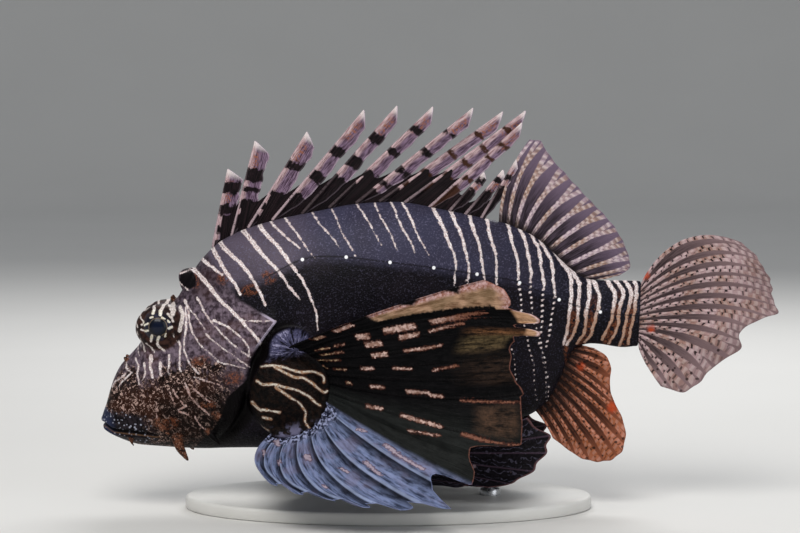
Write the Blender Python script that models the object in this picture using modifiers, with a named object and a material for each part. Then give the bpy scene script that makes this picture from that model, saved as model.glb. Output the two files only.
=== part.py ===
"""A red lionfish as a still, life-size display model, held over a flat base by two rods.

Lengths in this file are millimetres until a mesh is made. The fish is drawn level, in a
frame of its own: u runs from the snout to the tail, y to its right side, w up. One empty
then pitches the whole fish head down and lifts it over the base.
"""

import math
import random

import bmesh
import bpy
from mathutils import Matrix, Vector

MM = 0.001
GAP = 0.3                  # clearance between pieces that touch
PITCH_DEGREES = 11.5       # the fish hangs head down by this much
SNOUT_X = -158.445         # where the snout stands over the base
SNOUT_Z = 39.5
SEED = 7

# Body sections, snout to tail: u, top, bottom, half width, level of the greatest width,
# and how square the upper and the lower half are (2 is an ellipse, less is more pointed)
SECTIONS = (
    (0.0, 3.6, -2.2, 3.4, 0.6, 2.2, 2.2),
    (1.2, 6.0, -3.8, 6.2, 0.8, 2.2, 2.2),
    (3.3, 9.4, -5.6, 8.6, 1.2, 2.2, 2.2),
    (6.4, 15.4, -7.8, 10.8, 2.0, 2.1, 2.2),
    (9.4, 20.6, -9.8, 12.2, 3.0, 2.0, 2.2),
    (14.0, 26.2, -12.3, 14.0, 4.0, 1.95, 2.2),
    (20.0, 30.6, -14.2, 15.8, 6.0, 2.0, 2.2),
    (24.0, 33.6, -15.3, 16.8, 8.0, 2.2, 2.2),
    (30.0, 40.6, -17.0, 18.0, 11.0, 2.4, 2.2),
    (37.0, 46.4, -18.9, 19.4, 13.0, 2.4, 2.1),
    (46.0, 51.6, -20.9, 21.2, 13.0, 2.1, 2.1),
    (54.0, 60.4, -22.3, 22.8, 13.0, 1.9, 2.0),
    (62.0, 67.8, -23.8, 24.2, 14.0, 1.85, 2.0),
    (72.0, 73.9, -25.8, 25.4, 15.0, 1.95, 1.95),
    (86.0, 77.4, -28.3, 26.4, 19.0, 2.0, 1.9),
    (105.0, 78.7, -31.3, 26.8, 22.0, 2.0, 1.85),
    (130.0, 78.7, -33.8, 26.0, 23.0, 2.0, 1.85),
    (155.0, 75.8, -35.5, 23.4, 22.0, 2.0, 1.85),
    (178.0, 67.2, -36.2, 19.2, 18.0, 2.0, 1.9),
    (196.0, 59.4, -36.0, 15.4, 13.5, 2.0, 1.9),
    (204.0, 55.7, -33.2, 13.6, 11.5, 2.0, 1.9),
    (210.0, 51.8, -28.4, 12.0, 11.0, 2.0, 2.0),
    (216.0, 47.2, -20.6, 10.6, 12.0, 2.0, 2.0),
    (221.0, 41.6, -13.0, 9.4, 12.5, 2.0, 2.0),
    (226.0, 34.4, -8.3, 8.4, 11.0, 2.0, 2.0),
    (231.0, 27.6, -8.1, 7.6, 8.5, 2.0, 2.0),
    (237.0, 21.9, -9.3, 7.0, 5.5, 2.0, 2.0),
    (244.0, 19.6, -11.5, 6.3, 3.6, 2.0, 2.0),
    (251.0, 17.8, -13.2, 5.2, 2.4, 2.0, 2.0),
    (258.0, 16.2, -13.9, 2.4, 1.4, 2.0, 2.0),
)
TOP, BOTTOM, HALF_WIDTH, WIDEST, UPPER, LOWER = range(1, 7)
TAIL_END = 258.0           # last section of the tail stem
TAIL_SPLIT = 226.0         # trunk in front, tail stem behind
TAIL_LEAN = 0.24           # the last sections lean back at the top by this slope
LEAN_FROM, LEAN_TO, LEAN_LEVEL = 232.0, 256.0, 1.0

# Rear edge of the gill cover and, over it, the line where head and trunk are parted
GILL_EDGE = ((64.0, 90.0), (66.0, 69.0), (70.0, 57.0), (77.0, 47.0), (85.0, 39.5), (92.0, 34.0),
             (86.2, 28.9), (81.6, 24.6), (76.6, 19.0), (73.8, 12.4), (71.7, 7.1), (68.9, 0.5),
             (64.8, -5.8), (58.8, -11.8), (51.6, -16.5), (44.0, -30.0))
GILL_LIFT = 1.7            # the cover stands off the body by this much at its edge
GILL_RAMP = 22.0           # and lies flush again this far in front of it
FURROW_DEPTH = 3.2         # behind the cover the body dips by this much
FURROW_WIDTH = 10.0

EYE_U, EYE_Y, EYE_W = 36.9, 12.8, 41.8
EYE_RADIUS = 8.8
ORBIT_CENTRE = (37.6, 11.2, 41.4)
ORBIT_RADII = (12.6, 10.6, 11.4)
ORBIT_OPENING = 8.1

MOUTH_LINE = ((-4.0, 2.4), (1.5, 0.9), (5.0, -2.4), (15.0, -5.0), (24.5, -8.2))
MOUTH_HEIGHT = 0.9

BASE_CENTRE_X = -24.0
BASE_HALF_LENGTH = 96.0
BASE_HALF_WIDTH = 50.0
BASE_HEIGHT = 6.0
ROD_RADIUS = 2.0
ROD_SOCKET_DEPTH = 7.0
ROD_FRONT_X = -46.0
ROD_REAR_X = 24.0

MEMBRANE = 0.6             # thickness of the skin between fin rays


def rgb(red, green, blue):
    return (red, green, blue, 1.0)


FINISHES = {
    "skin_head": (rgb(0.16, 0.12, 0.13), 0.42),
    "skin_body": (rgb(0.045, 0.04, 0.055), 0.4),
    "eye": (rgb(0.02, 0.03, 0.08), 0.08),
    "fin_pectoral": (rgb(0.08, 0.07, 0.09), 0.5),
    "fin_pelvic": (rgb(0.05, 0.035, 0.06), 0.5),
    "fin_dorsal": (rgb(0.3, 0.22, 0.25), 0.5),
    "fin_rear": (rgb(0.32, 0.24, 0.26), 0.5),
    "stand_plate": (rgb(0.62, 0.62, 0.6), 0.45),
    "stand_rod": (rgb(0.5, 0.5, 0.5), 0.3),
}


def smooth_step(low, high, value):
    share = min(1.0, max(0.0, (value - low) / (high - low)))
    return share * share * (3.0 - 2.0 * share)


def table_value(rows, column, u):
    """One column of a table at u, on a smooth curve that doesn't overshoot its rows."""
    u = min(rows[-1][0], max(rows[0][0], u))
    i = max(k for k in range(len(rows) - 1) if rows[k][0] <= u)
    steps = [b[0] - a[0] for a, b in zip(rows, rows[1:])]
    rises = [(b[column] - a[column]) / (b[0] - a[0]) for a, b in zip(rows, rows[1:])]

    def slope(k):
        if k in (0, len(rows) - 1):
            return rises[min(k, len(rises) - 1)]
        before, after = rises[k - 1], rises[k]
        if before * after <= 0.0:
            return 0.0
        weight_a = 2.0 * steps[k] + steps[k - 1]
        weight_b = steps[k] + 2.0 * steps[k - 1]
        return (weight_a + weight_b) / (weight_a / before + weight_b / after)

    t = (u - rows[i][0]) / steps[i]
    start, end = rows[i][column], rows[i + 1][column]
    return ((1.0 + 2.0 * t) * (1.0 - t) ** 2 * start + t * t * (3.0 - 2.0 * t) * end
            + steps[i] * t * (1.0 - t) * ((1.0 - t) * slope(i) - t * slope(i + 1)))


def section(u):
    return [table_value(SECTIONS, column, u) for column in (TOP, BOTTOM, HALF_WIDTH, WIDEST, UPPER, LOWER)]


def lean_shift(u, w):
    return TAIL_LEAN * smooth_step(LEAN_FROM, LEAN_TO, u) * (w - LEAN_LEVEL)


def body_point(u, angle):
    """Point of the body's surface on section u, where angle 0 is the widest place."""
    top, bottom, half_width, widest, upper, lower = section(u)
    across, up = math.cos(angle), math.sin(angle)
    power = 2.0 / (upper if up >= 0.0 else lower)
    reach = top - widest if up >= 0.0 else widest - bottom
    y = math.copysign(abs(across) ** power, across) * half_width
    w = widest + math.copysign(abs(up) ** power, up) * reach
    return Vector((u + lean_shift(u, w), y, w))


def body_side(u, w):
    """Half width of the body at the level w of section u."""
    top, bottom, half_width, widest, upper, lower = section(u)
    squareness = upper if w >= widest else lower
    reach = top - widest if w >= widest else widest - bottom
    share = min(1.0, abs(w - widest) / reach)
    return half_width * (1.0 - share ** squareness) ** (1.0 / squareness)


def edge_u(w):
    """How far back the gill cover reaches at the level w."""
    line = GILL_EDGE[5:]
    for (u_high, w_high), (u_low, w_low) in zip(line, line[1:]):
        if w_low <= w <= w_high:
            return u_low + (u_high - u_low) * (w - w_low) / (w_high - w_low)
    return line[0][0]


def head_point(u, angle):
    """The body's surface, swelling out a little towards the edge of the gill cover."""
    point = body_point(u, angle)
    level = smooth_step(-20.0, -8.0, point.z) * (1.0 - smooth_step(30.0, 42.0, point.z))
    ramp = smooth_step(-GILL_RAMP, 0.0, point.x - edge_u(point.z))
    point.y += math.copysign(GILL_LIFT * level * ramp, point.y)
    return point


def trunk_point(u, angle):
    """The body's surface with a furrow just behind the gill cover."""
    point = body_point(u, angle)
    level = smooth_step(-20.0, -10.0, point.z) * (1.0 - smooth_step(26.0, 34.0, point.z))
    ramp = 1.0 - smooth_step(0.0, FURROW_WIDTH, point.x - edge_u(point.z))
    point.y -= math.copysign(FURROW_DEPTH * level * ramp, point.y)
    return point


def median_line(column, u, gap):
    """Point on the back or the belly line, gap clear of it along the line's normal."""
    step = 0.5
    w = table_value(SECTIONS, column, u)
    rise = table_value(SECTIONS, column, u + step) - table_value(SECTIONS, column, u - step)
    away = Vector((-rise, 0.0, 2.0 * step)).normalized()
    if column == BOTTOM:
        away.negate()
    return Vector((u + lean_shift(u, w), 0.0, w)) + away * gap


def back_line(u, gap=GAP):
    return median_line(TOP, u, gap)


def belly_line(u, gap=GAP):
    return median_line(BOTTOM, u, gap)


def tail_line(w, gap=GAP):
    """Point on the rear edge of the tail stem at the level w."""
    return Vector((TAIL_END + TAIL_LEAN * (w - LEAN_LEVEL) + gap, 0.0, w))


def new_material(name):
    colour, roughness = FINISHES[name]
    material = bpy.data.materials.new(name)
    material.use_nodes = True
    shader = material.node_tree.nodes["Principled BSDF"]
    shader.inputs["Base Color"].default_value = colour
    shader.inputs["Roughness"].default_value = roughness
    return material


def new_object(name, bm):
    """A mesh object from millimetres, in the parts collection."""
    bmesh.ops.scale(bm, vec=(MM, MM, MM), verts=bm.verts)
    mesh = bpy.data.meshes.new(name)
    bm.to_mesh(mesh)
    bm.free()
    piece = bpy.data.objects.new(name, mesh)
    parts.objects.link(piece)
    return piece


def loft(name, stations, sides, point_at):
    """A closed skin over rings of points, one ring at each station."""
    bm = bmesh.new()
    rings = []
    for station in stations:
        ring = [bm.verts.new(point_at(station, 2.0 * math.pi * k / sides)) for k in range(sides)]
        rings.append(ring)
    for near, far in zip(rings, rings[1:]):
        for k in range(sides):
            following = (k + 1) % sides
            bm.faces.new((near[k], near[following], far[following], far[k]))
    bm.faces.new(rings[0])
    bm.faces.new(rings[-1])
    bmesh.ops.recalc_face_normals(bm, faces=bm.faces)
    return new_object(name, bm)


def curve_to_mesh(guide):
    """Closed mesh object in place of a curve object."""
    evaluated = guide.evaluated_get(bpy.context.evaluated_depsgraph_get())
    mesh = bpy.data.meshes.new_from_object(evaluated)
    bm = bmesh.new()
    bm.from_mesh(mesh)
    bmesh.ops.remove_doubles(bm, verts=bm.verts, dist=0.00001)
    bmesh.ops.recalc_face_normals(bm, faces=bm.faces)
    bmesh.ops.transform(bm, matrix=guide.matrix_world, verts=bm.verts)
    bm.to_mesh(mesh)
    bm.free()
    piece = bpy.data.objects.new(guide.name, mesh)
    parts.objects.link(piece)
    bpy.data.objects.remove(guide)
    return piece


def outline_block(name, outline, half_width):
    """A flat outline in u and w, drawn out to both sides."""
    curve = bpy.data.curves.new(name, "CURVE")
    curve.dimensions = "2D"
    curve.fill_mode = "BOTH"
    curve.extrude = half_width * MM
    spline = curve.splines.new("POLY")
    spline.points.add(len(outline) - 1)
    for point, (u, w) in zip(spline.points, outline):
        point.co = (u * MM, w * MM, 0.0, 1.0)
    spline.use_cyclic_u = True
    guide = bpy.data.objects.new(name, curve)
    guide.rotation_euler.x = math.radians(90.0)
    parts.objects.link(guide)
    bpy.context.view_layer.update()
    return curve_to_mesh(guide)


def tapered_tube(name, points, radii, resolution=1):
    """A round strand through the points, with its own radius at each."""
    curve = bpy.data.curves.new(name, "CURVE")
    curve.dimensions = "3D"
    curve.bevel_depth = MM
    curve.bevel_resolution = resolution
    curve.use_fill_caps = True
    spline = curve.splines.new("POLY")
    spline.points.add(len(points) - 1)
    for knot, place, radius in zip(spline.points, points, radii):
        knot.co = (*(Vector(place) * MM), 1.0)
        knot.radius = radius
    guide = bpy.data.objects.new(name, curve)
    parts.objects.link(guide)
    bpy.context.view_layer.update()
    return curve_to_mesh(guide)


def ball(name, centre, radii, segments, rings):
    """A sphere or egg shape, its axis across the fish."""
    bm = bmesh.new()
    bmesh.ops.create_uvsphere(bm, u_segments=segments, v_segments=rings, radius=1.0)
    place = Matrix.Translation(centre) @ Matrix.Diagonal((*radii, 1.0)) @ Matrix.Rotation(math.pi / 2.0, 4, "X")
    bmesh.ops.transform(bm, matrix=place, verts=bm.verts)
    return new_object(name, bm)


def cylinder(name, start, end, radius, segments=16, end_radius=None):
    """A round bar between two points."""
    bm = bmesh.new()
    along = Vector(end) - Vector(start)
    turn = along.to_track_quat("Z", "Y").to_matrix().to_4x4()
    place = Matrix.Translation((Vector(start) + Vector(end)) / 2.0) @ turn
    far_radius = radius if end_radius is None else end_radius
    bmesh.ops.create_cone(bm, cap_ends=True, segments=segments, radius1=radius, radius2=far_radius,
                          depth=along.length, matrix=place)
    return new_object(name, bm)


def combine(piece, others, operation, solver="EXACT"):
    """One Boolean with a collection of closed pieces, applied, with the pieces then removed."""
    group = bpy.data.collections.new(piece.name + "_pieces")
    bpy.context.scene.collection.children.link(group)
    for other in others:
        parts.objects.unlink(other)
        group.objects.link(other)
    change = piece.modifiers.new(operation.lower(), "BOOLEAN")
    change.operation = operation
    change.operand_type = "COLLECTION"
    change.collection = group
    change.solver = solver
    apply_modifiers(piece)
    for other in others:
        bpy.data.objects.remove(other)
    bpy.data.collections.remove(group)


def apply_modifiers(piece):
    """Writes the modifiers' result into the mesh and keeps its largest closed surface."""
    bpy.context.view_layer.update()
    evaluated = piece.evaluated_get(bpy.context.evaluated_depsgraph_get())
    mesh = bpy.data.meshes.new_from_object(evaluated)
    piece.modifiers.clear()
    piece.data = mesh
    bm = bmesh.new()
    bm.from_mesh(mesh)
    surfaces = []
    unseen = set(bm.verts)
    while unseen:
        surface = set()
        queue = [unseen.pop()]
        while queue:
            vert = queue.pop()
            surface.add(vert)
            for edge in vert.link_edges:
                other = edge.other_vert(vert)
                if other in unseen:
                    unseen.remove(other)
                    queue.append(other)
        surfaces.append(surface)
    largest = max(surfaces, key=len)
    bmesh.ops.delete(bm, geom=[v for v in bm.verts if v not in largest], context="VERTS")
    bm.to_mesh(mesh)
    bm.free()


def mirrored(piece, name):
    """The same piece for the fish's other side."""
    bm = bmesh.new()
    bm.from_mesh(piece.data)
    bmesh.ops.scale(bm, vec=(1.0, -1.0, 1.0), verts=bm.verts)
    bmesh.ops.reverse_faces(bm, faces=bm.faces)
    mesh = bpy.data.meshes.new(name)
    bm.to_mesh(mesh)
    bm.free()
    twin = bpy.data.objects.new(name, mesh)
    parts.objects.link(twin)
    return twin


def finish(piece, finish_name, parent=None):
    """Gives a node its material, its parent and smooth shading."""
    piece.data.materials.clear()
    piece.data.materials.append(materials[finish_name])
    piece.parent = parent
    piece.data.shade_smooth()
    piece.data.set_sharp_from_angle(angle=math.radians(40.0))
    return piece


# A fin ray runs through three points: its root, its middle and its tip

def ray_point(ray, share):
    root, middle, tip = (Vector(point) for point in ray)
    bend = 2.0 * middle - (root + tip) / 2.0
    return root * (1.0 - share) ** 2 + bend * (2.0 * share * (1.0 - share)) + tip * share ** 2


def fin_sheet(name, rays, rows, ray_thickness, notches, root_at=None, flank=0.24, tip_share=0.45):
    """A fin as one sheet whose rays are ridges raised in its own surface.

    notches says how far the skin's edge is drawn in between each ray and the next, and
    root_at gives the exact root of any column, counted in rays, where the sheet follows
    the body's line.
    """
    columns = []
    for i in range(len(rays)):
        if i > 0:
            columns.append((i - 1, 1.0 - flank, "flank"))
        columns.append((min(i, len(rays) - 2), 0.0 if i < len(rays) - 1 else 1.0, "ray"))
        if i < len(rays) - 1:
            columns.append((i, flank, "flank"))
            columns.append((i, 0.5, "skin"))
    drawn_in = {"ray": 0.0, "flank": 0.3, "skin": 1.0}
    bm = bmesh.new()
    weights = []
    grid = []
    for i, across, kind in columns:
        line = []
        length = 1.0 - notches[i] * drawn_in[kind]
        for row in range(rows + 1):
            share = length * row / rows
            point = ray_point(rays[i], share).lerp(ray_point(rays[i + 1], share), across)
            if root_at:
                straight = ray_point(rays[i], 0.0).lerp(ray_point(rays[i + 1], 0.0), across)
                point += (root_at(i + across) - straight) * (1.0 - share) ** 2
            line.append(bm.verts.new(point))
            ridge = ray_thickness * (1.0 - (1.0 - tip_share) * share)
            weights.append((ridge if kind == "ray" else MEMBRANE) / ray_thickness)
        grid.append(line)
    for near, far in zip(grid, grid[1:]):
        for row in range(rows):
            bm.faces.new((near[row], near[row + 1], far[row + 1], far[row]))
    bmesh.ops.triangulate(bm, faces=bm.faces, quad_method="SHORT_EDGE")
    piece = new_object(name, bm)
    group = piece.vertex_groups.new(name="thickness")
    for index, weight in enumerate(weights):
        group.add([index], weight, "REPLACE")
    thicken = piece.modifiers.new("thicken", "SOLIDIFY")
    thicken.thickness = ray_thickness * MM
    thicken.offset = 0.0
    thicken.vertex_group = group.name
    return piece


def solid_sheet(piece):
    """The sheet's thickness made real, its faces turned out."""
    apply_modifiers(piece)
    bm = bmesh.new()
    bm.from_mesh(piece.data)
    bmesh.ops.recalc_face_normals(bm, faces=bm.faces)
    bm.to_mesh(piece.data)
    bm.free()
    return piece


def median_rays(root_us, tips, bow, line):
    """Rays in the fish's middle plane, from the line they grow on to their tips."""
    rays = []
    for u, (tip_u, tip_w) in zip(root_us, tips):
        root = line(u)
        tip = Vector((tip_u, 0.0, tip_w))
        across = Vector((-(tip - root).z, 0.0, (tip - root).x))
        rays.append((root, (root + tip) / 2.0 + across * bow, tip))
    return rays


def root_finder(root_us, line):
    """Root of a column counted in rays, on the line that the fin grows on."""
    def root_at(count):
        i = min(int(count), len(root_us) - 2)
        return line(root_us[i] + (root_us[i + 1] - root_us[i]) * (count - i))
    return root_at


# Pectoral fin of the left side: root, middle and tip of each ray, top ray first
PECTORAL_RAYS = (
    ((95.7, -30.0, 21.5), (151.9, -46.0, 34.8), (200.5, -52.0, 28.8)),
    ((100.0, -30.6, 19.3), (154.4, -45.5, 23.3), (209.0, -50.5, 13.5)),
    ((104.0, -31.1, 16.6), (154.6, -46.5, 16.6), (207.7, -51.5, 6.0)),
    ((107.0, -31.6, 13.6), (153.6, -48.0, 10.2), (197.0, -54.0, 2.0)),
    ((109.2, -32.0, 10.2), (152.0, -50.0, 4.2), (194.0, -57.0, -4.5)),
    ((110.3, -32.4, 6.4), (151.6, -52.0, -2.6), (193.5, -60.0, -11.5)),
    ((110.4, -32.6, 2.4), (151.3, -53.0, -10.4), (195.4, -62.0, -20.0)),
    ((109.6, -32.8, -2.0), (148.6, -54.5, -21.0), (190.3, -65.0, -37.7)),
    ((107.6, -33.0, -7.0), (137.0, -56.0, -30.5), (168.5, -68.5, -50.5)),
    ((104.4, -33.0, -12.0), (123.6, -57.0, -36.0), (153.5, -71.5, -58.6)),
    ((100.0, -33.0, -15.8), (108.5, -58.0, -35.4), (132.0, -74.5, -54.0)),
    ((94.4, -32.6, -18.2), (96.8, -58.0, -34.6), (115.4, -76.0, -49.8)),
    ((88.4, -32.0, -19.4), (86.0, -56.0, -32.4), (100.5, -74.0, -44.6)),
    ((82.4, -31.0, -19.4), (77.6, -52.0, -29.2), (87.0, -69.5, -39.8)),
    ((77.0, -29.4, -18.0), (70.6, -46.0, -24.8), (76.6, -61.0, -33.6)),
)
PECTORAL_NOTCHES = (0.34, 0.12, 0.14, 0.03, 0.03, 0.04, 0.06, 0.12, 0.13, 0.12, 0.11, 0.1, 0.1, 0.1)
PECTORAL_RAY = 1.8

PELVIC_RAYS = (
    ((96.0, -12.5, -29.8), (124.0, -18.5, -48.3), (155.1, -24.0, -60.0)),
    ((98.6, -11.6, -30.8), (134.0, -18.0, -48.6), (171.7, -26.0, -60.0)),
    ((101.4, -10.8, -31.6), (143.0, -17.0, -47.2), (184.5, -25.0, -59.4)),
    ((104.4, -10.0, -32.3), (148.6, -15.4, -45.0), (194.8, -22.0, -56.0)),
    ((107.6, -9.3, -32.9), (153.3, -13.8, -42.8), (203.1, -19.0, -49.6)),
    ((110.8, -8.7, -33.4), (154.2, -12.2, -40.9), (204.0, -16.0, -44.0)),
    ((114.0, -8.2, -33.8), (150.0, -10.6, -39.4), (191.3, -13.4, -40.4)),
)
PELVIC_NOTCHES = (0.06, 0.05, 0.05, 0.05, 0.05, 0.05)
PELVIC_RAY = 1.3

# Soft dorsal fin: where each ray grows from the back, and its tip in u and w
SOFT_DORSAL_ROOTS = (202.2, 205.7, 209.0, 212.3, 215.7, 219.3, 222.7, 225.7, 229.1, 232.6, 236.2, 240.5)
SOFT_DORSAL_TIPS = ((226.4, 92.2), (229.3, 85.0), (233.3, 78.4), (237.6, 71.3), (241.9, 64.2), (245.9, 57.7),
                    (250.3, 51.0), (254.2, 44.0), (257.0, 36.2), (258.3, 29.0), (257.9, 23.2), (252.4, 20.6))
SOFT_DORSAL_NOTCH = 0.04

ANAL_ROOTS = (201.7, 204.6, 207.2, 209.6, 211.8, 213.9, 215.8, 217.6, 219.3, 221.0, 222.9, 225.1, 227.8)
ANAL_TIPS = ((206.6, -48.9), (212.5, -55.9), (218.1, -61.4), (224.8, -64.3), (231.5, -64.6), (237.4, -61.5),
             (240.8, -53.9), (240.5, -45.5), (238.3, -37.3), (237.8, -29.9), (239.9, -21.6), (238.8, -15.6),
             (234.1, -11.0))
ANAL_NOTCH = 0.04

# Tail fin: the level of each ray's root on the tail stem's rear edge, and its tip
CAUDAL_ROOTS = (14.6, 12.4, 10.2, 8.0, 5.8, 3.6, 1.4, -0.8, -3.0, -5.0, -7.0, -9.0, -11.0, -13.0)
CAUDAL_MIDDLES = ((285.6, 30.9), (290.7, 25.0), (292.6, 19.8), (293.5, 14.8), (293.6, 10.5), (293.0, 5.4),
                  (292.3, 0.2), (289.6, -4.4), (285.0, -8.6), (281.0, -12.8), (275.1, -17.0), (268.9, -20.9),
                  (262.4, -23.6), (256.9, -23.4))
CAUDAL_TIPS = ((311.6, 24.2), (316.9, 17.3), (319.1, 11.1), (321.4, 5.3), (321.8, -0.1), (321.3, -5.3),
               (322.0, -11.7), (311.8, -13.2), (302.4, -17.4), (301.7, -25.0), (287.8, -31.0), (279.9, -36.6),
               (271.0, -39.6), (261.4, -34.8))
CAUDAL_NOTCH = 0.03
MEDIAN_RAY = 1.4

# Dorsal spines: where each grows from the back, its tip in u and w, and its flag's width
DORSAL_SPINES = (
    (70.1, (82.1, 106.3), 7.4), (79.6, (97.2, 116.6), 7.6), (88.4, (121.9, 115.9), 7.2),
    (100.4, (150.1, 120.6), 6.0), (114.6, (165.6, 119.4), 5.4), (127.7, (182.0, 115.6), 5.2),
    (140.5, (200.2, 111.4), 5.0), (151.3, (213.6, 106.8), 5.0), (162.5, (224.2, 105.1), 4.8),
    (172.9, (221.3, 100.0), 4.2), (181.4, (199.4, 81.0), 3.2), (188.3, (208.3, 80.2), 3.2),
    (195.0, (215.2, 83.6), 2.4),
)
SPINE_ROOT_RADIUS, SPINE_TIP_RADIUS = 1.25, 0.3
FLAG_EDGE = 0.6            # thickness of a flag's free edge
WEB_SHARE = 0.3            # skin joins the spines up to this share of their length


def make_head():
    stations = [row[0] for row in SECTIONS if row[0] <= 72.0]
    stations += [2.2, 4.8, 7.8, 11.6, 17.0, 27.0, 33.5, 41.5, 50.0, 58.0, 67.0, 78.0, 84.0, 90.0, 96.0]
    head = loft("head", sorted(stations), 24, head_point)
    behind = list(GILL_EDGE) + [(130.0, -30.0), (130.0, 90.0)]
    additions = [lip("upper_lip", 1.9, 1.5), lip("lower_lip", -1.9, 1.3)]
    for side in (-1.0, 1.0):
        u, y, w = ORBIT_CENTRE
        additions.append(ball("orbit", (u, side * y, w), ORBIT_RADII, 16, 9))
        additions += head_trim(side)
    combine(head, additions, "UNION")
    cutters = [outline_block("behind_gill_edge", behind, 60.0), mouth_slit()]
    for side in (-1.0, 1.0):
        eye = Vector((EYE_U, side * EYE_Y, EYE_W))
        outward = Vector((0.0, side * 20.0, 0.0))
        cutters.append(ball("socket", eye, (EYE_RADIUS + GAP,) * 3, 18, 9))
        cutters.append(cylinder("orbit_opening", eye, eye + outward, ORBIT_OPENING, 20))
        for u, w in ((13.0, 21.5), (18.0, 25.0)):
            surface = Vector((u, side * body_side(u, w), w))
            cutters.append(ball("nostril", surface, (0.9, 1.3, 0.9), 8, 6))
    combine(head, cutters, "DIFFERENCE")
    return head


def mouth_slit():
    """The line of the mouth, open at the lips and closing towards its corner."""
    upper, lower = [], []
    last = len(MOUTH_LINE) - 1
    for i, (u, w) in enumerate(MOUTH_LINE):
        half = MOUTH_HEIGHT / 2.0 * (1.0 - 0.7 * i / last)
        upper.append((u, w + half))
        lower.append((u, w - half))
    return outline_block("mouth", upper + lower[::-1], 40.0)


def mouth_level(u):
    for (u_near, w_near), (u_far, w_far) in zip(MOUTH_LINE, MOUTH_LINE[1:]):
        if u <= u_far:
            return w_near + (w_far - w_near) * (u - u_near) / (u_far - u_near)
    return MOUTH_LINE[-1][1]


# Skin tassels of the head: root u and w, direction out of the skin, length, root radius
TASSELS = (
    ((17.6, 27.6), (-0.35, 0.6, 0.75), 5.5, 1.1),
    ((44.7, 50.5), (0.1, 0.5, 1.0), 6.5, 1.3),
    ((26.0, -1.0), (0.45, 0.6, -0.65), 10.0, 1.7),
    ((33.0, -10.0), (0.25, 0.4, -1.0), 12.5, 2.0),
    ((48.5, -9.5), (0.5, 0.35, -0.9), 9.0, 1.4),
    ((53.5, -2.0), (0.6, 0.4, -0.75), 7.0, 1.2),
    ((12.0, -6.5), (0.1, 0.35, -1.0), 5.0, 0.9),
)


def lip(name, offset, radius):
    """A soft roll that follows the mouth from one corner round the snout to the other."""
    half_path = []
    for u in (24.5, 21.0, 16.0, 11.0, 6.5, 3.0, 1.0):
        w = mouth_level(u) + offset
        half_path.append((u, max(0.0, body_side(u, w) - 0.45 * radius), w))
    path = [(u, -y, w) for u, y, w in half_path] + half_path[::-1]
    radii = [radius * (1.0 - 0.5 * smooth_step(12.0, 25.0, u)) for u, y, w in path]
    return tapered_tube(name, path, radii)


def head_trim(side):
    """Tassels, nape spines and bony ridges of one side of the head."""
    pieces = []
    for (u, w), lie, length, radius in TASSELS:
        root = Vector((u, side * (body_side(u, w) - 1.5), w))
        out = Vector((lie[0], side * lie[1], lie[2])).normalized()
        droop = Vector((0.12, 0.0, -0.12)) * length
        path = [root, root + out * length * 0.6, root + out * length + droop]
        pieces.append(tapered_tube("tassel", path, [radius, radius * 1.1, radius * 0.35]))
    for u, w, reach in ((47.5, 51.0, 4.0), (53.5, 57.5, 5.5)):
        root = Vector((u, side * 6.0, w - 2.0))
        tip = root + Vector((reach * 0.7, side * 1.0, reach + 2.0))
        pieces.append(cylinder("nape_spine", root, tip, 2.0, 6, 0.4))
    ridge = [(45.0, 31.0), (54.0, 31.5), (64.0, 32.5), (74.0, 33.5), (88.0, 34.0)]
    path = [(u, side * (head_half_width(u, w) - 0.3), w) for u, w in ridge]
    pieces.append(tapered_tube("gill_cover_ridge", path, [0.7, 1.1, 1.2, 1.2, 0.9]))
    cheek = [(27.0, 24.0), (36.0, 22.5), (46.0, 19.0), (57.0, 15.0)]
    path = [(u, side * (head_half_width(u, w) - 0.3), w) for u, w in cheek]
    pieces.append(tapered_tube("cheek_ridge", path, [0.6, 1.1, 1.2, 0.8]))
    return pieces


def head_half_width(u, w):
    level = smooth_step(-20.0, -8.0, w) * (1.0 - smooth_step(30.0, 42.0, w))
    return body_side(u, w) + GILL_LIFT * level * smooth_step(-GILL_RAMP, 0.0, u - edge_u(w))


def offset_line(line, distance):
    """The line moved to its rear side by the distance."""
    moved = []
    for i, (u, w) in enumerate(line):
        (u_a, w_a), (u_b, w_b) = line[max(0, i - 1)], line[min(len(line) - 1, i + 1)]
        length = math.hypot(u_b - u_a, w_b - w_a)
        moved.append((u - distance * (w_b - w_a) / length, w + distance * (u_b - u_a) / length))
    return moved


BASE_NECK = 3.0            # last stretch of a fleshy root, in line with the rays
PECTORAL_PAD = (89.0, 24.0, 1.0)
PECTORAL_PAD_RADII = (22.5, 11.0, 20.5)


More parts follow.
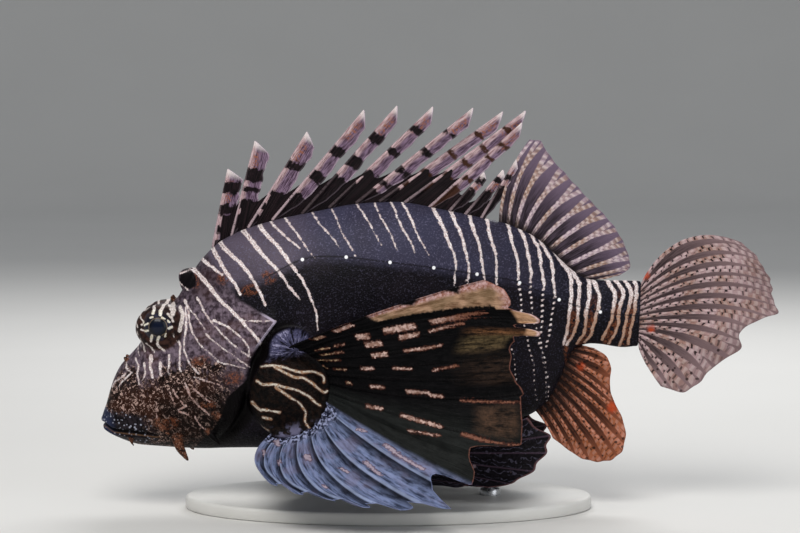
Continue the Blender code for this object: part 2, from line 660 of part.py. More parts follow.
def fleshy_base(name, rays, pull, depth_y, inner, outer):
    """Fleshy root of a paired fin, from inside the body to a gap in front of the fin's edge.

    pull moves its inner edge towards a centre in u and w, and depth_y is how deep it sits.
    """
    centre_u, centre_w, share = pull
    bm = bmesh.new()
    grid, weights = [], []
    for ray in rays:
        root = Vector(ray[0])
        out = (ray_point(ray, 0.03) - root).normalized()
        edge = root - out * GAP
        neck = edge - out * BASE_NECK
        sunk = Vector((centre_u + (root.x - centre_u) * share, depth_y, centre_w + (root.z - centre_w) * share))
        path = (sunk, sunk.lerp(neck, 0.5) + Vector((0.0, -1.2, 0.0)), neck, edge)
        grid.append([bm.verts.new(point) for point in path])
        weights += [1.0, (1.0 + outer / inner) / 2.0, (0.2 + 1.1 * outer / inner), outer / inner]
    rows = 3
    for near, far in zip(grid, grid[1:]):
        for row in range(rows):
            bm.faces.new((near[row], near[row + 1], far[row + 1], far[row]))
    bmesh.ops.triangulate(bm, faces=bm.faces)
    piece = new_object(name, bm)
    group = piece.vertex_groups.new(name="thickness")
    for index, weight in enumerate(weights):
        group.add([index], weight, "REPLACE")
    thicken = piece.modifiers.new("thicken", "SOLIDIFY")
    thicken.thickness = inner * MM
    thicken.offset = 0.0
    thicken.vertex_group = group.name
    return solid_sheet(piece)


def make_trunk():
    stations = [row[0] for row in SECTIONS if 46.0 <= row[0] < TAIL_SPLIT]
    stations += [67.0, 79.0, 95.0, 117.0, 142.0, 167.0, 187.0, 200.0, 207.0, 213.0, 218.5, 223.5]
    stations.append(TAIL_SPLIT - GAP / 2.0)
    trunk = loft("trunk", sorted(stations), 24, trunk_point)
    bases = []
    for name, rays, pull, depth, inner, outer in (
            ("pectoral_base", PECTORAL_RAYS, (86.0, 0.0, 0.72), -20.0, 9.0, 3.0),
            ("pelvic_base", PELVIC_RAYS, (98.0, -8.0, 0.5), -8.0, 4.0, 2.2)):
        left = fleshy_base(name, rays, pull, depth, inner, outer)
        bases += [left, mirrored(left, name + "_right")]
    for side in (-1.0, 1.0):
        u, y, w = PECTORAL_PAD
        bases.append(ball("pectoral_pad", (u, side * y, w), PECTORAL_PAD_RADII, 16, 8))
    combine(trunk, bases, "UNION", "MANIFOLD")
    before = offset_line(GILL_EDGE, GAP) + [(20.0, -30.0), (20.0, 90.0)]
    cutters = [outline_block("before_gill_edge", before, 60.0)]
    for x in (ROD_FRONT_X, ROD_REAR_X):
        low, high = rod_ends(x)
        cutters.append(cylinder("rod_socket", to_fish(low), to_fish(high + Vector((0.0, 0.0, GAP))),
                                ROD_RADIUS + GAP))
    combine(trunk, cutters, "DIFFERENCE", "MANIFOLD")
    return trunk


def make_tail_stem():
    stations = [TAIL_SPLIT + GAP / 2.0, 228.5, 231.0, 234.0, 237.0, 240.5, 244.0, 247.5, 251.0, 254.5, TAIL_END]
    return loft("tail_stem", stations, 20, body_point)


def to_world(point):
    """World place in millimetres of a point of the fish."""
    turn = Matrix.Rotation(-math.radians(PITCH_DEGREES), 3, "Y")
    return turn @ Vector(point) + Vector((SNOUT_X, 0.0, SNOUT_Z))


def to_fish(point):
    turn = Matrix.Rotation(math.radians(PITCH_DEGREES), 3, "Y")
    return turn @ (Vector(point) - Vector((SNOUT_X, 0.0, SNOUT_Z)))


def rod_ends(x):
    """Foot and top of the rod that stands at x, with its top inside the belly."""
    u = 60.0
    while to_world(belly_line(u, 0.0)).x < x:
        u += 0.25
    belly = to_world(belly_line(u, 0.0))
    return Vector((x, 0.0, BASE_HEIGHT + GAP)), Vector((x, 0.0, belly.z + ROD_SOCKET_DEPTH))


def make_spiny_dorsal():
    """Thirteen tapered spines, each with a flag of skin behind it, joined low down by a web."""
    rng = random.Random(SEED)
    roots = [spine[0] for spine in DORSAL_SPINES]
    web_rays = []
    for root_u, (tip_u, tip_w), _ in DORSAL_SPINES:
        root = back_line(root_u)
        tip = root.lerp(Vector((tip_u, 0.0, tip_w)), WEB_SHARE)
        web_rays.append((root, (root + tip) / 2.0, tip))
    notches = [0.25] * (len(web_rays) - 1)
    web = solid_sheet(fin_sheet("dorsal_fin_spiny", web_rays, 3, 1.0, notches, root_finder(roots, back_line)))
    blades = []
    for root_u, (tip_u, tip_w), flag in DORSAL_SPINES:
        root = back_line(root_u, 0.4 + SPINE_ROOT_RADIUS)
        sway = rng.uniform(-0.05, 0.05) * (Vector((tip_u, 0.0, tip_w)) - root).length
        blades.append(spine_blade("spine", root, Vector((tip_u, sway, tip_w)), flag, rng))
    combine(web, blades, "UNION")
    return web


def spine_blade(name, root, tip, flag, rng):
    """One spine, round in front, with its flag tapering to a thin rear edge."""
    along = (tip - root).normalized()
    behind = Vector((along.z, 0.0, -along.x)).normalized()
    side = along.cross(behind)
    length = (tip - root).length
    bm = bmesh.new()
    rings = []
    for share, breadth in ((0.0, 0.0), (0.14, 0.55), (0.34, 0.95), (0.58, 0.9), (0.82, 1.0), (1.0, 0.0)):
        radius = SPINE_ROOT_RADIUS + (SPINE_TIP_RADIUS - SPINE_ROOT_RADIUS) * share
        edge = radius + (flag + 0.6 * radius) * breadth * rng.uniform(0.88, 1.06)
        half = min(FLAG_EDGE / 2.0, radius * 0.8)
        centre = root + along * length * share
        profile = ((0.2 * radius, radius), (-0.8 * radius, 0.6 * radius), (-0.8 * radius, -0.6 * radius),
                   (0.2 * radius, -radius), (edge, -half), (edge, half))
        rings.append([bm.verts.new(centre + behind * b + side * s) for b, s in profile])
    for near, far in zip(rings, rings[1:]):
        for k in range(len(near)):
            following = (k + 1) % len(near)
            bm.faces.new((near[k], near[following], far[following], far[k]))
    bm.faces.new(rings[0])
    bm.faces.new(rings[-1])
    bmesh.ops.recalc_face_normals(bm, faces=bm.faces)
    return new_object(name, bm)


def make_median_fins(fish):
    soft = median_rays(SOFT_DORSAL_ROOTS, SOFT_DORSAL_TIPS, 0.03, back_line)
    notches = [SOFT_DORSAL_NOTCH] * (len(soft) - 1)
    sheet = fin_sheet("dorsal_fin_soft", soft, 5, MEDIAN_RAY, notches, root_finder(SOFT_DORSAL_ROOTS, back_line))
    finish(solid_sheet(sheet), "fin_rear", fish)

    anal = median_rays(ANAL_ROOTS, ANAL_TIPS, 0.03, belly_line)
    notches = [ANAL_NOTCH] * (len(anal) - 1)
    sheet = fin_sheet("anal_fin", anal, 5, MEDIAN_RAY, notches, root_finder(ANAL_ROOTS, belly_line))
    finish(solid_sheet(sheet), "fin_rear", fish)

    caudal = [(tail_line(w), Vector((middle[0], 0.0, middle[1])), Vector((tip[0], 0.0, tip[1])))
              for w, middle, tip in zip(CAUDAL_ROOTS, CAUDAL_MIDDLES, CAUDAL_TIPS)]
    notches = [CAUDAL_NOTCH] * (len(caudal) - 1)
    sheet = fin_sheet("caudal_fin", caudal, 5, MEDIAN_RAY, notches, root_finder(CAUDAL_ROOTS, tail_line))
    finish(solid_sheet(sheet), "fin_rear", fish)


def make_paired_fins(fish):
    for name, rays, rows, ray_thickness, notches, finish_name in (
            ("pectoral_fin", PECTORAL_RAYS, 6, PECTORAL_RAY, PECTORAL_NOTCHES, "fin_pectoral"),
            ("pelvic_fin", PELVIC_RAYS, 6, PELVIC_RAY, PELVIC_NOTCHES, "fin_pelvic")):
        left = solid_sheet(fin_sheet(name + "_left", rays, rows, ray_thickness, notches))
        right = mirrored(left, name + "_right")
        finish(left, finish_name, fish)
        finish(right, finish_name, fish)


def make_eyes(fish):
    for name, side in (("eye_left", -1.0), ("eye_right", 1.0)):
        eye = ball(name, (EYE_U, side * EYE_Y, EYE_W), (EYE_RADIUS,) * 3, 14, 9)
        finish(eye, "eye", fish)


def make_stand():
    bm = bmesh.new()
    bmesh.ops.create_cone(bm, cap_ends=True, segments=36, radius1=1.0, radius2=1.0, depth=BASE_HEIGHT)
    bmesh.ops.scale(bm, vec=(BASE_HALF_LENGTH, BASE_HALF_WIDTH, 1.0), verts=bm.verts)
    bmesh.ops.translate(bm, vec=(BASE_CENTRE_X, 0.0, BASE_HEIGHT / 2.0), verts=bm.verts)
    plate = new_object("stand_base", bm)
    rounding = plate.modifiers.new("rounded_edge", "BEVEL")
    rounding.width = 1.5 * MM
    rounding.segments = 1
    rounding.limit_method = "ANGLE"
    rounding.angle_limit = math.radians(60.0)
    finish(plate, "stand_plate")
    for name, x in (("stand_rod_front", ROD_FRONT_X), ("stand_rod_rear", ROD_REAR_X)):
        foot, top = rod_ends(x)
        rod = cylinder(name, foot, top, ROD_RADIUS)
        collar = cylinder("collar", foot, foot + Vector((0.0, 0.0, 3.0)), 5.0, 20, 4.0)
        combine(rod, [collar], "UNION")
        finish(rod, "stand_rod")


for old in list(bpy.data.objects):
    bpy.data.objects.remove(old)
parts = bpy.data.collections.new("red_lionfish")
bpy.context.scene.collection.children.link(parts)
materials = {name: new_material(name) for name in FINISHES}

fish_frame = bpy.data.objects.new("fish_frame", None)
fish_frame.location = (SNOUT_X * MM, 0.0, SNOUT_Z * MM)
fish_frame.rotation_euler.y = -math.radians(PITCH_DEGREES)
parts.objects.link(fish_frame)

finish(make_head(), "skin_head", fish_frame)
finish(make_trunk(), "skin_body", fish_frame)
finish(make_tail_stem(), "skin_body", fish_frame)
make_eyes(fish_frame)
make_paired_fins(fish_frame)
finish(make_spiny_dorsal(), "fin_dorsal", fish_frame)
make_median_fins(fish_frame)
make_stand()
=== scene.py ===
# %% [markdown]
# # A red lionfish, held over a flat base
# This lesson builds the looks of a life-size model fish around a frame of plain solids that
# another script made. The solids say where everything is. Here the trunk, head and tail get
# one living skin, each fin gets its own pleated sheet of rays, and the eyes, the stand and
# the light come last. Each step first says what the piece is on the real fish.

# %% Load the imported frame
import functools
import math

import bmesh
import bpy
import numpy as np
from mathutils import Matrix, Vector


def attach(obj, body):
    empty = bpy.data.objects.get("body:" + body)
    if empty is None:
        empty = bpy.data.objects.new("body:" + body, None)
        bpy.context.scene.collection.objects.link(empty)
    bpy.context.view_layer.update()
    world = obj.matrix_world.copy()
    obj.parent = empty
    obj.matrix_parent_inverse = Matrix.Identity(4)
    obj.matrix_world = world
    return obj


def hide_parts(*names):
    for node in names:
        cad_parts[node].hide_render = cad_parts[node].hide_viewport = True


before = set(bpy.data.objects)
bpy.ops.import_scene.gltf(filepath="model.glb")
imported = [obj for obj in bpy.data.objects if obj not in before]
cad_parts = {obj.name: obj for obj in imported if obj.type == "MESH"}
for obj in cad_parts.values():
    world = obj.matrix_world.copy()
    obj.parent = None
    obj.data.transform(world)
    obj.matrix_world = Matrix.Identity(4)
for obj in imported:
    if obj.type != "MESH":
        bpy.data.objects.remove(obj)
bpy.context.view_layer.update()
print("solids:", ", ".join(sorted(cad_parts)))

# %% [markdown]
# The fish hangs head down by a few degrees. It is far easier to draw it level, so every
# piece is drawn in the fish's own frame, in millimetres, with u from the snout to the tail,
# y to its right side and w up. One matrix then pitches the finished piece into place.

# %% The fish's own frame
MM = 0.001
PITCH_DEGREES = 11.5
SNOUT_X = -158.445
SNOUT_Z = 39.5
FISH = Matrix.Translation((SNOUT_X * MM, 0.0, SNOUT_Z * MM)) @ Matrix.Rotation(
    -math.radians(PITCH_DEGREES), 4, "Y")
print("snout stands at", [round(x, 4) for x in FISH.translation])

# %% [markdown]
# The camera looks square at the fish's left side from a little above, as the photo does. A
# long lens keeps the near fin from swelling. The distance and the width of the view at the
# fish's middle plane are driving sizes, and the lens follows from them.

# %% Camera
VIEW_DISTANCE = 1200.0
VIEW_WIDTH = 376.0
VIEW_ELEVATION = 5.0
VIEW_CENTRE = Vector((-18.58, 0.0, 114.2))
SENSOR = 36.0

camera_data = bpy.data.cameras.new("camera")
camera_data.sensor_width = SENSOR
camera_data.lens = SENSOR * VIEW_DISTANCE / VIEW_WIDTH


def place_object(name, data):
    """A new object that shows in the scene."""
    thing = bpy.data.objects.new(name, data)
    bpy.context.scene.collection.objects.link(thing)
    return thing


camera = place_object("camera", camera_data)
bpy.context.scene.camera = camera
tilt = math.radians(VIEW_ELEVATION)
back = Vector((0.0, -math.cos(tilt), math.sin(tilt)))
camera.location = (VIEW_CENTRE + back * VIEW_DISTANCE) * MM
camera.rotation_euler = (-back).to_track_quat("-Z", "Y").to_euler()
bpy.context.scene.view_settings.view_transform = "Standard"
print("lens", round(camera_data.lens, 1), "mm")

# %% [markdown]
# A fish's trunk is a row of cross-sections that change slowly: blunt at the lips, deepest
# under the spines, thin at the tail. A modeller could push a sphere about until it looks
# right. A short table is better here, because the same named sizes also made the solids:
# each row gives the top, the bottom, the half width, the level of the greatest width, and
# how square the upper and lower halves are.

# %% Sections of the body
SECTIONS = np.array((
    (0, 3.6, -2.2, 3.4, 0.6, 2.2, 2.2),
    (1.2, 6, -3.8, 6.2, 0.8, 2.2, 2.2),
    (3.3, 9.4, -5.6, 8.6, 1.2, 2.2, 2.2),
    (6.4, 15.4, -7.8, 10.8, 2, 2.1, 2.2),
    (9.4, 20.6, -9.8, 12.2, 3, 2, 2.2),
    (14, 26.2, -12.3, 14, 4, 1.95, 2.2),
    (20, 30.6, -14.2, 15.8, 6, 2, 2.2),
    (24, 33.6, -15.3, 16.8, 8, 2.2, 2.2),
    (30, 40.6, -17, 18, 11, 2.4, 2.2),
    (37, 46.4, -18.9, 19.4, 13, 2.4, 2.1),
    (46, 51.6, -20.9, 21.2, 13, 2.1, 2.1),
    (54, 60.4, -22.3, 22.8, 13, 1.9, 2),
    (62, 67.8, -23.8, 24.2, 14, 1.85, 2),
    (72, 73.9, -25.8, 25.4, 15, 1.95, 1.95),
    (86, 77.4, -28.3, 26.4, 19, 2, 1.9),
    (105, 78.7, -31.3, 26.8, 22, 2, 1.85),
    (130, 78.7, -33.8, 26, 23, 2, 1.85),
    (155, 75.8, -35.5, 23.4, 22, 2, 1.85),
    (178, 67.2, -36.2, 19.2, 18, 2, 1.9),
    (196, 59.4, -36, 15.4, 13.5, 2, 1.9),
    (204, 55.7, -33.2, 13.6, 11.5, 2, 1.9),
    (210, 51.8, -28.4, 12, 11, 2, 2),
    (216, 47.2, -20.6, 10.6, 12, 2, 2),
    (221, 41.6, -13, 9.4, 12.5, 2, 2),
    (226, 34.4, -8.3, 8.4, 11, 2, 2),
    (231, 27.6, -8.1, 7.6, 8.5, 2, 2),
    (237, 21.9, -9.3, 7, 5.5, 2, 2),
    (244, 19.6, -11.5, 6.3, 3.6, 2, 2),
    (251, 17.8, -13.2, 5.2, 2.4, 2, 2),
    (258, 16.2, -13.9, 2.4, 1.4, 2, 2),
))
TOP, BOTTOM = 1, 2
TAIL_END, TAIL_LEAN = 258.0, 0.24
LEAN_FROM, LEAN_TO, LEAN_LEVEL = 232.0, 256.0, 1.0


def smooth_step(low, high, value):
    share = np.clip((np.asarray(value, float) - low) / (high - low), 0.0, 1.0)
    return share * share * (3.0 - 2.0 * share)


def section_slopes(column):
    """Slope at each row, chosen so that the curve never overshoots the table."""
    steps = np.diff(SECTIONS[:, 0])
    rises = np.diff(SECTIONS[:, column]) / steps
    slopes = np.concatenate(([rises[0]], np.zeros(len(rises) - 1), [rises[-1]]))
    for k in range(1, len(rises)):
        before, after = rises[k - 1], rises[k]
        if before * after > 0.0:
            weight_a, weight_b = 2.0 * steps[k] + steps[k - 1], steps[k] + 2.0 * steps[k - 1]
            slopes[k] = (weight_a + weight_b) / (weight_a / before + weight_b / after)
    return slopes


SLOPES = {column: section_slopes(column) for column in range(1, 7)}


def table_value(column, u):
    """One column of the table at every u, on its smooth curve."""
    u = np.clip(np.asarray(u, float), 0.0, TAIL_END)
    i = np.clip(np.searchsorted(SECTIONS[:, 0], u, side="right") - 1, 0, len(SECTIONS) - 2)
    step = SECTIONS[i + 1, 0] - SECTIONS[i, 0]
    t = (u - SECTIONS[i, 0]) / step
    start, end, slopes = SECTIONS[i, column], SECTIONS[i + 1, column], SLOPES[column]
    return ((1.0 + 2.0 * t) * (1.0 - t) ** 2 * start + t * t * (3.0 - 2.0 * t) * end
            + step * t * (1.0 - t) * ((1.0 - t) * slopes[i] - t * slopes[i + 1]))


def section(u):
    """Top, bottom, half width, widest level, upper and lower squareness at every u."""
    return [table_value(column, u) for column in range(1, 7)]


def lean_shift(u, w):
    return TAIL_LEAN * smooth_step(LEAN_FROM, LEAN_TO, u) * (w - LEAN_LEVEL)


def body_side(u, w):
    """Half width of the body at the level w of section u."""
    top, bottom, half_width, widest, upper, lower = section(u)
    high = w >= widest
    squareness = np.where(high, upper, lower)
    reach = np.where(high, top - widest, widest - bottom)
    share = np.minimum(1.0, np.abs(w - widest) / reach)
    return half_width * (1.0 - share ** squareness) ** (1.0 / squareness)


depth = float(table_value(TOP, 105.0) - table_value(BOTTOM, 105.0))
print("depth at the fins", round(depth, 1), "mm")

# %% [markdown]
# The gill cover is a bony plate whose rear edge stands off the body and hides a deep dark
# slit. Its outline is a few points. In front of the line the skin swells a little, and
# just behind it the skin sinks, so that the edge reads as an edge from every side.

# %% Gill cover and its slit
GILL_EDGE = ((64, 90), (66, 69), (70, 57), (77, 47), (85, 39.5), (92, 34),
             (86.2, 28.9), (81.6, 24.6), (76.6, 19), (73.8, 12.4), (71.7, 7.1), (68.9, 0.5),
             (64.8, -5.8), (58.8, -11.8), (51.6, -16.5), (44, -30))
GILL_TIP = 5
GILL_LIFT, GILL_RAMP = 1.7, 22.0
FURROW_DEPTH, FURROW_WIDTH = 3.2, 10.0


def edge_u(w):
    """How far back the gill cover reaches at the level w, from its tip down."""
    line = np.array(GILL_EDGE[GILL_TIP:])[::-1]
    return np.interp(w, line[:, 1], line[:, 0])


def gill_shift(u, w):
    """How far the skin stands out, or sinks, near the edge of the gill cover."""
    behind = u - edge_u(w)
    cover = smooth_step(-20.0, -8.0, w) * (1.0 - smooth_step(30.0, 42.0, w))
    slit = smooth_step(-20.0, -10.0, w) * (1.0 - smooth_step(26.0, 34.0, w))
    swell = GILL_LIFT * cover * smooth_step(-GILL_RAMP, 0.0, behind)
    furrow = FURROW_DEPTH * slit * (1.0 - smooth_step(0.0, FURROW_WIDTH, behind))
    return np.where(behind <= 0.0, swell, -furrow)


print("gill cover reaches", round(float(edge_u(34.0)), 1), "mm behind the snout")

# %% [markdown]
# The skin starts as a fine tube of rings. Each point of a ring sits on a rounded section
# whose squareness comes from the table, and is then pushed out or in by the gill cover.

# %% A fine tube for the body
RINGS, RING_POINTS = 420, 220


def closed_tube(rings):
    """Vertices and faces of a tube from an array of rings, with flat ends."""
    count, around = rings.shape[:2]
    ids = np.arange(count * around).reshape(count, around)
    near, far = ids[:-1], ids[1:]
    corners = (near, np.roll(near, -1, 1), np.roll(far, -1, 1), far)
    faces = np.stack(corners, -1).reshape(-1, 4).tolist()
    faces.append(ids[0][::-1].tolist())
    faces.append(ids[-1].tolist())
    return rings.reshape(-1, 3), faces


def body_rings():
    share = np.linspace(0.0, 1.0, RINGS)
    u = TAIL_END * (0.35 * share ** 2 + 0.65 * share)
    angle = np.linspace(0.0, 2.0 * math.pi, RING_POINTS, endpoint=False)
    across, up = np.cos(angle)[None, :], np.sin(angle)[None, :]
    top, bottom, half_width, widest, upper, lower = section(u[:, None])
    power = 2.0 / np.where(up >= 0.0, upper, lower)
    reach = np.where(up >= 0.0, top - widest, widest - bottom)
    y = np.sign(across) * np.abs(across) ** power * half_width
    w = widest + np.sign(up) * np.abs(up) ** power * reach
    along = u[:, None] + lean_shift(u[:, None], w)
    y = y + np.sign(y) * np.minimum(np.abs(y) / 3.0, 1.0) * gill_shift(along, w)
    return np.stack((along, y, w), -1)


def add_mesh(name, points, faces):
    """A mesh object in the fish's frame, from points in millimetres."""
    mesh = bpy.data.meshes.new(name)
    mesh.from_pydata((np.asarray(points, float) * MM).tolist(), [], faces)
    mesh.update()
    return place_object(name, mesh)


body_points, body_faces = closed_tube(body_rings())
flesh = [add_mesh("body_tube", body_points, body_faces)]
print("body tube has", len(body_faces), "faces")

# %% [markdown]
# Lips, tassels, bony ridges and the spines of the nape are round strands that grow out of
# the head. Each is a curve with a bevel and its own radius at each point, which Blender
# turns into a mesh. They are only laid into the skin here, and are fused with it below.

# %% Strands that grow out of the head
def real_mesh(piece):
    """The mesh that a piece's curve or modifiers make."""
    bpy.context.view_layer.update()
    graph = bpy.context.evaluated_depsgraph_get()
    return bpy.data.meshes.new_from_object(piece.evaluated_get(graph))


def strand(name, points, radii, resolution=4):
    curve = bpy.data.curves.new(name, "CURVE")
    curve.dimensions = "3D"
    curve.bevel_depth = MM
    curve.bevel_resolution = resolution
    curve.use_fill_caps = True
    spline = curve.splines.new("NURBS")
    spline.points.add(len(points) - 1)
    for knot, place, radius in zip(spline.points, points, radii):
        knot.co = (*(Vector(place) * MM), 1.0)
        knot.radius = radius
    spline.use_endpoint_u = True
    spline.order_u = 3
    spline.resolution_u = 6
    guide = place_object(name, curve)
    mesh = real_mesh(guide)
    bpy.data.objects.remove(guide)
    return place_object(name, mesh)


MOUTH_LINE = ((-4, 2.4), (1.5, 0.9), (5, -2.4), (15, -5), (24.5, -8.2))


def mouth_level(u):
    line = np.array(MOUTH_LINE)
    return np.interp(u, line[:, 0], line[:, 1])


def skin_side(u, w):
    """Half width of the skin, gill cover included."""
    return float(body_side(u, w) + gill_shift(u, w))


def lip(name, offset, radius):
    half_path = []
    for u in (25.5, 21.0, 16.0, 11.0, 6.5, 3.0, 1.0):
        w = float(mouth_level(u)) + offset
        half_path.append((u, max(0.0, skin_side(u, w) - 0.45 * radius), w))
    path = [(u, -y, w) for u, y, w in half_path] + half_path[::-1]
    radii = [radius * (1.0 - 0.55 * float(smooth_step(12.0, 26.0, u))) for u, y, w in path]
    return strand(name, path, radii)


flesh += [lip("upper_lip", 1.9, 1.5), lip("lower_lip", -1.9, 1.3)]
print("lips laid along", len(MOUTH_LINE), "points of the mouth")

# %% [markdown]
# Red lionfish carry soft tassels over the mouth, under the chin and over the eyes. Each is
# rooted a little inside the skin, leans out, and droops at its tip. The table keeps the
# same roots and lengths as the solids.

# %% Tassels, ridges and nape spines
TASSELS = (
    ((17.6, 27.6), (-0.35, 0.6, 0.75), 3.6, 0.9),
    ((44, 50), (0.1, 0.4, 1), 4.4, 1),
    ((26, -1), (0.45, 0.6, -0.65), 10, 1.7),
    ((33, -10), (0.25, 0.4, -1), 12.5, 2),
    ((48.5, -9.5), (0.5, 0.35, -0.9), 9, 1.4),
    ((53.5, -2), (0.6, 0.4, -0.75), 7, 1.2),
    ((12, -6.5), (0.1, 0.35, -1), 5, 0.9),
)
NAPE_SPINES = ((47.5, 51, 4), (53.5, 57.5, 5.5))
RIDGES = (
    (((45, 31), (54, 31.5), (64, 32.5), (74, 33.5), (88, 34)), (0.7, 1.1, 1.2, 1.2, 0.9)),
    (((27, 24), (36, 22.5), (46, 19), (57, 15)), (0.6, 1.1, 1.2, 0.8)),
)
tassel_lines = []
for side in (-1.0, 1.0):
    for (u, w), lie, length, radius in TASSELS:
        root = Vector((u, side * (skin_side(u, w) - 1.5), w))
        out = Vector((lie[0], side * lie[1], lie[2])).normalized()
        droop = Vector((0.12, 0.0, -0.12)) * length
        path = [root, root + out * length * 0.35, root + out * length * 0.7,
                root + out * length + droop]
        flesh.append(strand("tassel", path, [radius, radius * 1.25, radius * 1.0, radius * 0.3]))
        tassel_lines.append((np.array(path), radius))
    for u, w, reach in NAPE_SPINES:
        root = Vector((u, side * 6.0, w - 2.0))
        tip = root + Vector((reach * 0.7, side, reach + 2.0))
        flesh.append(strand("nape_spine", [root, (root + tip) / 2.0, tip], [2.2, 1.6, 0.4]))
    for ridge, radii in RIDGES:
        path = [(u, side * (skin_side(u, w) - 0.4), w) for u, w in ridge]
        flesh.append(strand("ridge", path, radii))
print(len(flesh), "pieces of flesh so far")

# %% [markdown]
# The eyes sit in raised bony rings. An egg shape on each side gives the ring's bulk, and
# the opening is pressed into the skin later, once everything is one surface.

# %% Rings round the eyes and pads under the side fins
EYE_U, EYE_Y, EYE_W = 36.9, 12.8, 41.8
EYE_RADIUS = 8.8
ORBIT_CENTRE, ORBIT_RADII, ORBIT_OPENING = (37.6, 11.2, 41.0), (12.4, 10.6, 10.6), 8.1
PECTORAL_PAD, PECTORAL_PAD_RADII = (91.0, 22.0, 0.0), (20.0, 10.0, 23.0)
SHOULDER, SHOULDER_RADII = (96.0, 22.0, 20.0), (14.0, 8.5, 12.5)
CREST, CREST_RADII = (53.7, 4.0, 59.3), (4.4, 2.5, 4.9)


def egg(name, centre, radii, power=1.0):
    """An egg shape; a power below 1 makes it squarer."""
    bm = bmesh.new()
    bmesh.ops.create_uvsphere(bm, u_segments=64, v_segments=40, radius=1.0)
    for vertex in bm.verts:
        vertex.co = [math.copysign(abs(x) ** power, x) for x in vertex.co]
    bmesh.ops.transform(bm, matrix=Matrix.Translation(Vector(centre) * MM)
                        @ Matrix.Diagonal((*(r * MM for r in radii), 1.0)), verts=bm.verts)
    mesh = bpy.data.meshes.new(name)
    bm.to_mesh(mesh)
    bm.free()
    return place_object(name, mesh)


EGGS = (("orbit", ORBIT_CENTRE, ORBIT_RADII, 1.0), ("crest", CREST, CREST_RADII, 0.6),
        ("pad", PECTORAL_PAD, PECTORAL_PAD_RADII, 1.0),
        ("shoulder", SHOULDER, SHOULDER_RADII, 1.0))
for side in (-1.0, 1.0):
    for name, (u, y, w), radii, power in EGGS:
        flesh.append(egg(name, (u, side * y, w), radii, power))
print("eye rings", ORBIT_RADII, "mm")

# %% [markdown]
# Every fin ray is a bony rod that runs through three named points: its root, its middle
# and its tip. The pectoral fin is the large one on each side; its top ray comes first.

# %% Rays of the paired fins
PECTORAL_RAYS = np.array((
    ((95.7, -30, 21.5), (147, -45, 31.8), (198, -52, 36.2)),
    ((100, -30.6, 19.3), (154.4, -45.5, 23.3), (209, -50.5, 13.5)),
    ((104, -31.1, 16.6), (154.6, -46.5, 16.6), (207.7, -51.5, 6)),
    ((107, -31.6, 13.6), (153.6, -48, 10.2), (196.8, -54, 6.4)),
    ((109.2, -32, 10.2), (152, -50, 4.2), (194, -57, 0.4)),
    ((110.3, -32.4, 6.4), (151.6, -52, -2.6), (193.4, -60, -8.6)),
    ((110.4, -32.6, 2.4), (151.3, -53, -10.4), (195.9, -62, -16.6)),
    ((109.6, -32.8, -2), (148.6, -54.5, -21), (190.4, -65, -38.3)),
    ((107.6, -33, -7), (137, -56, -30.5), (165.2, -68.5, -51.1)),
    ((104.4, -33, -12), (123.6, -57, -36), (154, -71.5, -58.9)),
    ((100, -33, -15.8), (108.5, -58, -35.4), (132, -74.5, -54)),
    ((94.4, -32.6, -18.2), (96.8, -58, -34.6), (115.4, -76, -49.8)),
    ((88.4, -32, -19.4), (86, -56, -32.4), (100.5, -74, -44.6)),
    ((82.4, -31, -19.4), (77.6, -52, -29.2), (87, -69.5, -39.8)),
    ((77, -29.4, -18), (70.6, -46, -24.8), (76.6, -61, -33.6)),
))
PECTORAL_NOTCHES = np.array((
    0.1, 0.1, 0.1, 0.03, 0.03, 0.04, 0.06, 0.12, 0.13, 0.12, 0.11, 0.1, 0.1, 0.1))
PECTORAL_EDGE = (
    (0, 0.91), (0.12, 0.935), (0.26, 0.96), (0.48, 0.95), (0.62, 0.93), (0.69, 0.905),
    (0.73, 0.905), (0.77, 0.97), (0.86, 1), (0.98, 1.01), (1.1, 1), (1.16, 0.98), (1.2, 0.92),
    (1.3, 0.89), (1.42, 0.9), (1.47, 0.95), (1.56, 0.985), (1.68, 0.995), (1.85, 1), (2, 1),
    (2.04, 0.96), (2.08, 0.93), (2.3, 0.93), (2.5, 0.94), (3, 1), (3.5, 0.99), (4, 1),
    (4.58, 0.985), (5, 1), (5.5, 0.99), (6, 1), (6.06, 0.985), (6.4, 0.98), (6.8, 0.985), (7, 1),
    (7.05, 0.985), (7.12, 0.92), (7.22, 0.83), (7.32, 0.8), (7.54, 0.84), (7.74, 0.94),
    (7.9, 0.985), (8, 1), (8.04, 0.985), (8.1, 0.83), (8.2, 0.77), (8.34, 0.78), (8.68, 0.84),
    (8.86, 0.92), (9, 1))
PELVIC_RAYS = np.array((
    ((96, -12.5, -29.8), (124, -18.5, -48.3), (160, -24, -58.5)),
    ((98.6, -11.6, -30.8), (134, -18, -48.6), (170, -26, -60.2)),
    ((101.4, -10.8, -31.6), (143, -17, -47.2), (182.5, -25, -61.5)),
    ((104.4, -10, -32.3), (148.6, -15.4, -45), (194.1, -22, -58.8)),
    ((107.6, -9.3, -32.9), (153.3, -13.8, -42.8), (201.9, -19, -52.3)),
    ((110.8, -8.7, -33.4), (154.2, -12.2, -40.9), (205.3, -16, -44.9)),
    ((114, -8.2, -33.8), (150, -10.6, -39.4), (196.5, -13.4, -35)),
))
PELVIC_NOTCHES = np.full(len(PELVIC_RAYS) - 1, 0.02)


def grid_faces(ids):
    """The four-sided faces of a grid of point numbers."""
    return np.stack((ids[:-1, :-1], ids[:-1, 1:], ids[1:, 1:], ids[1:, :-1]), -1).reshape(-1, 4)


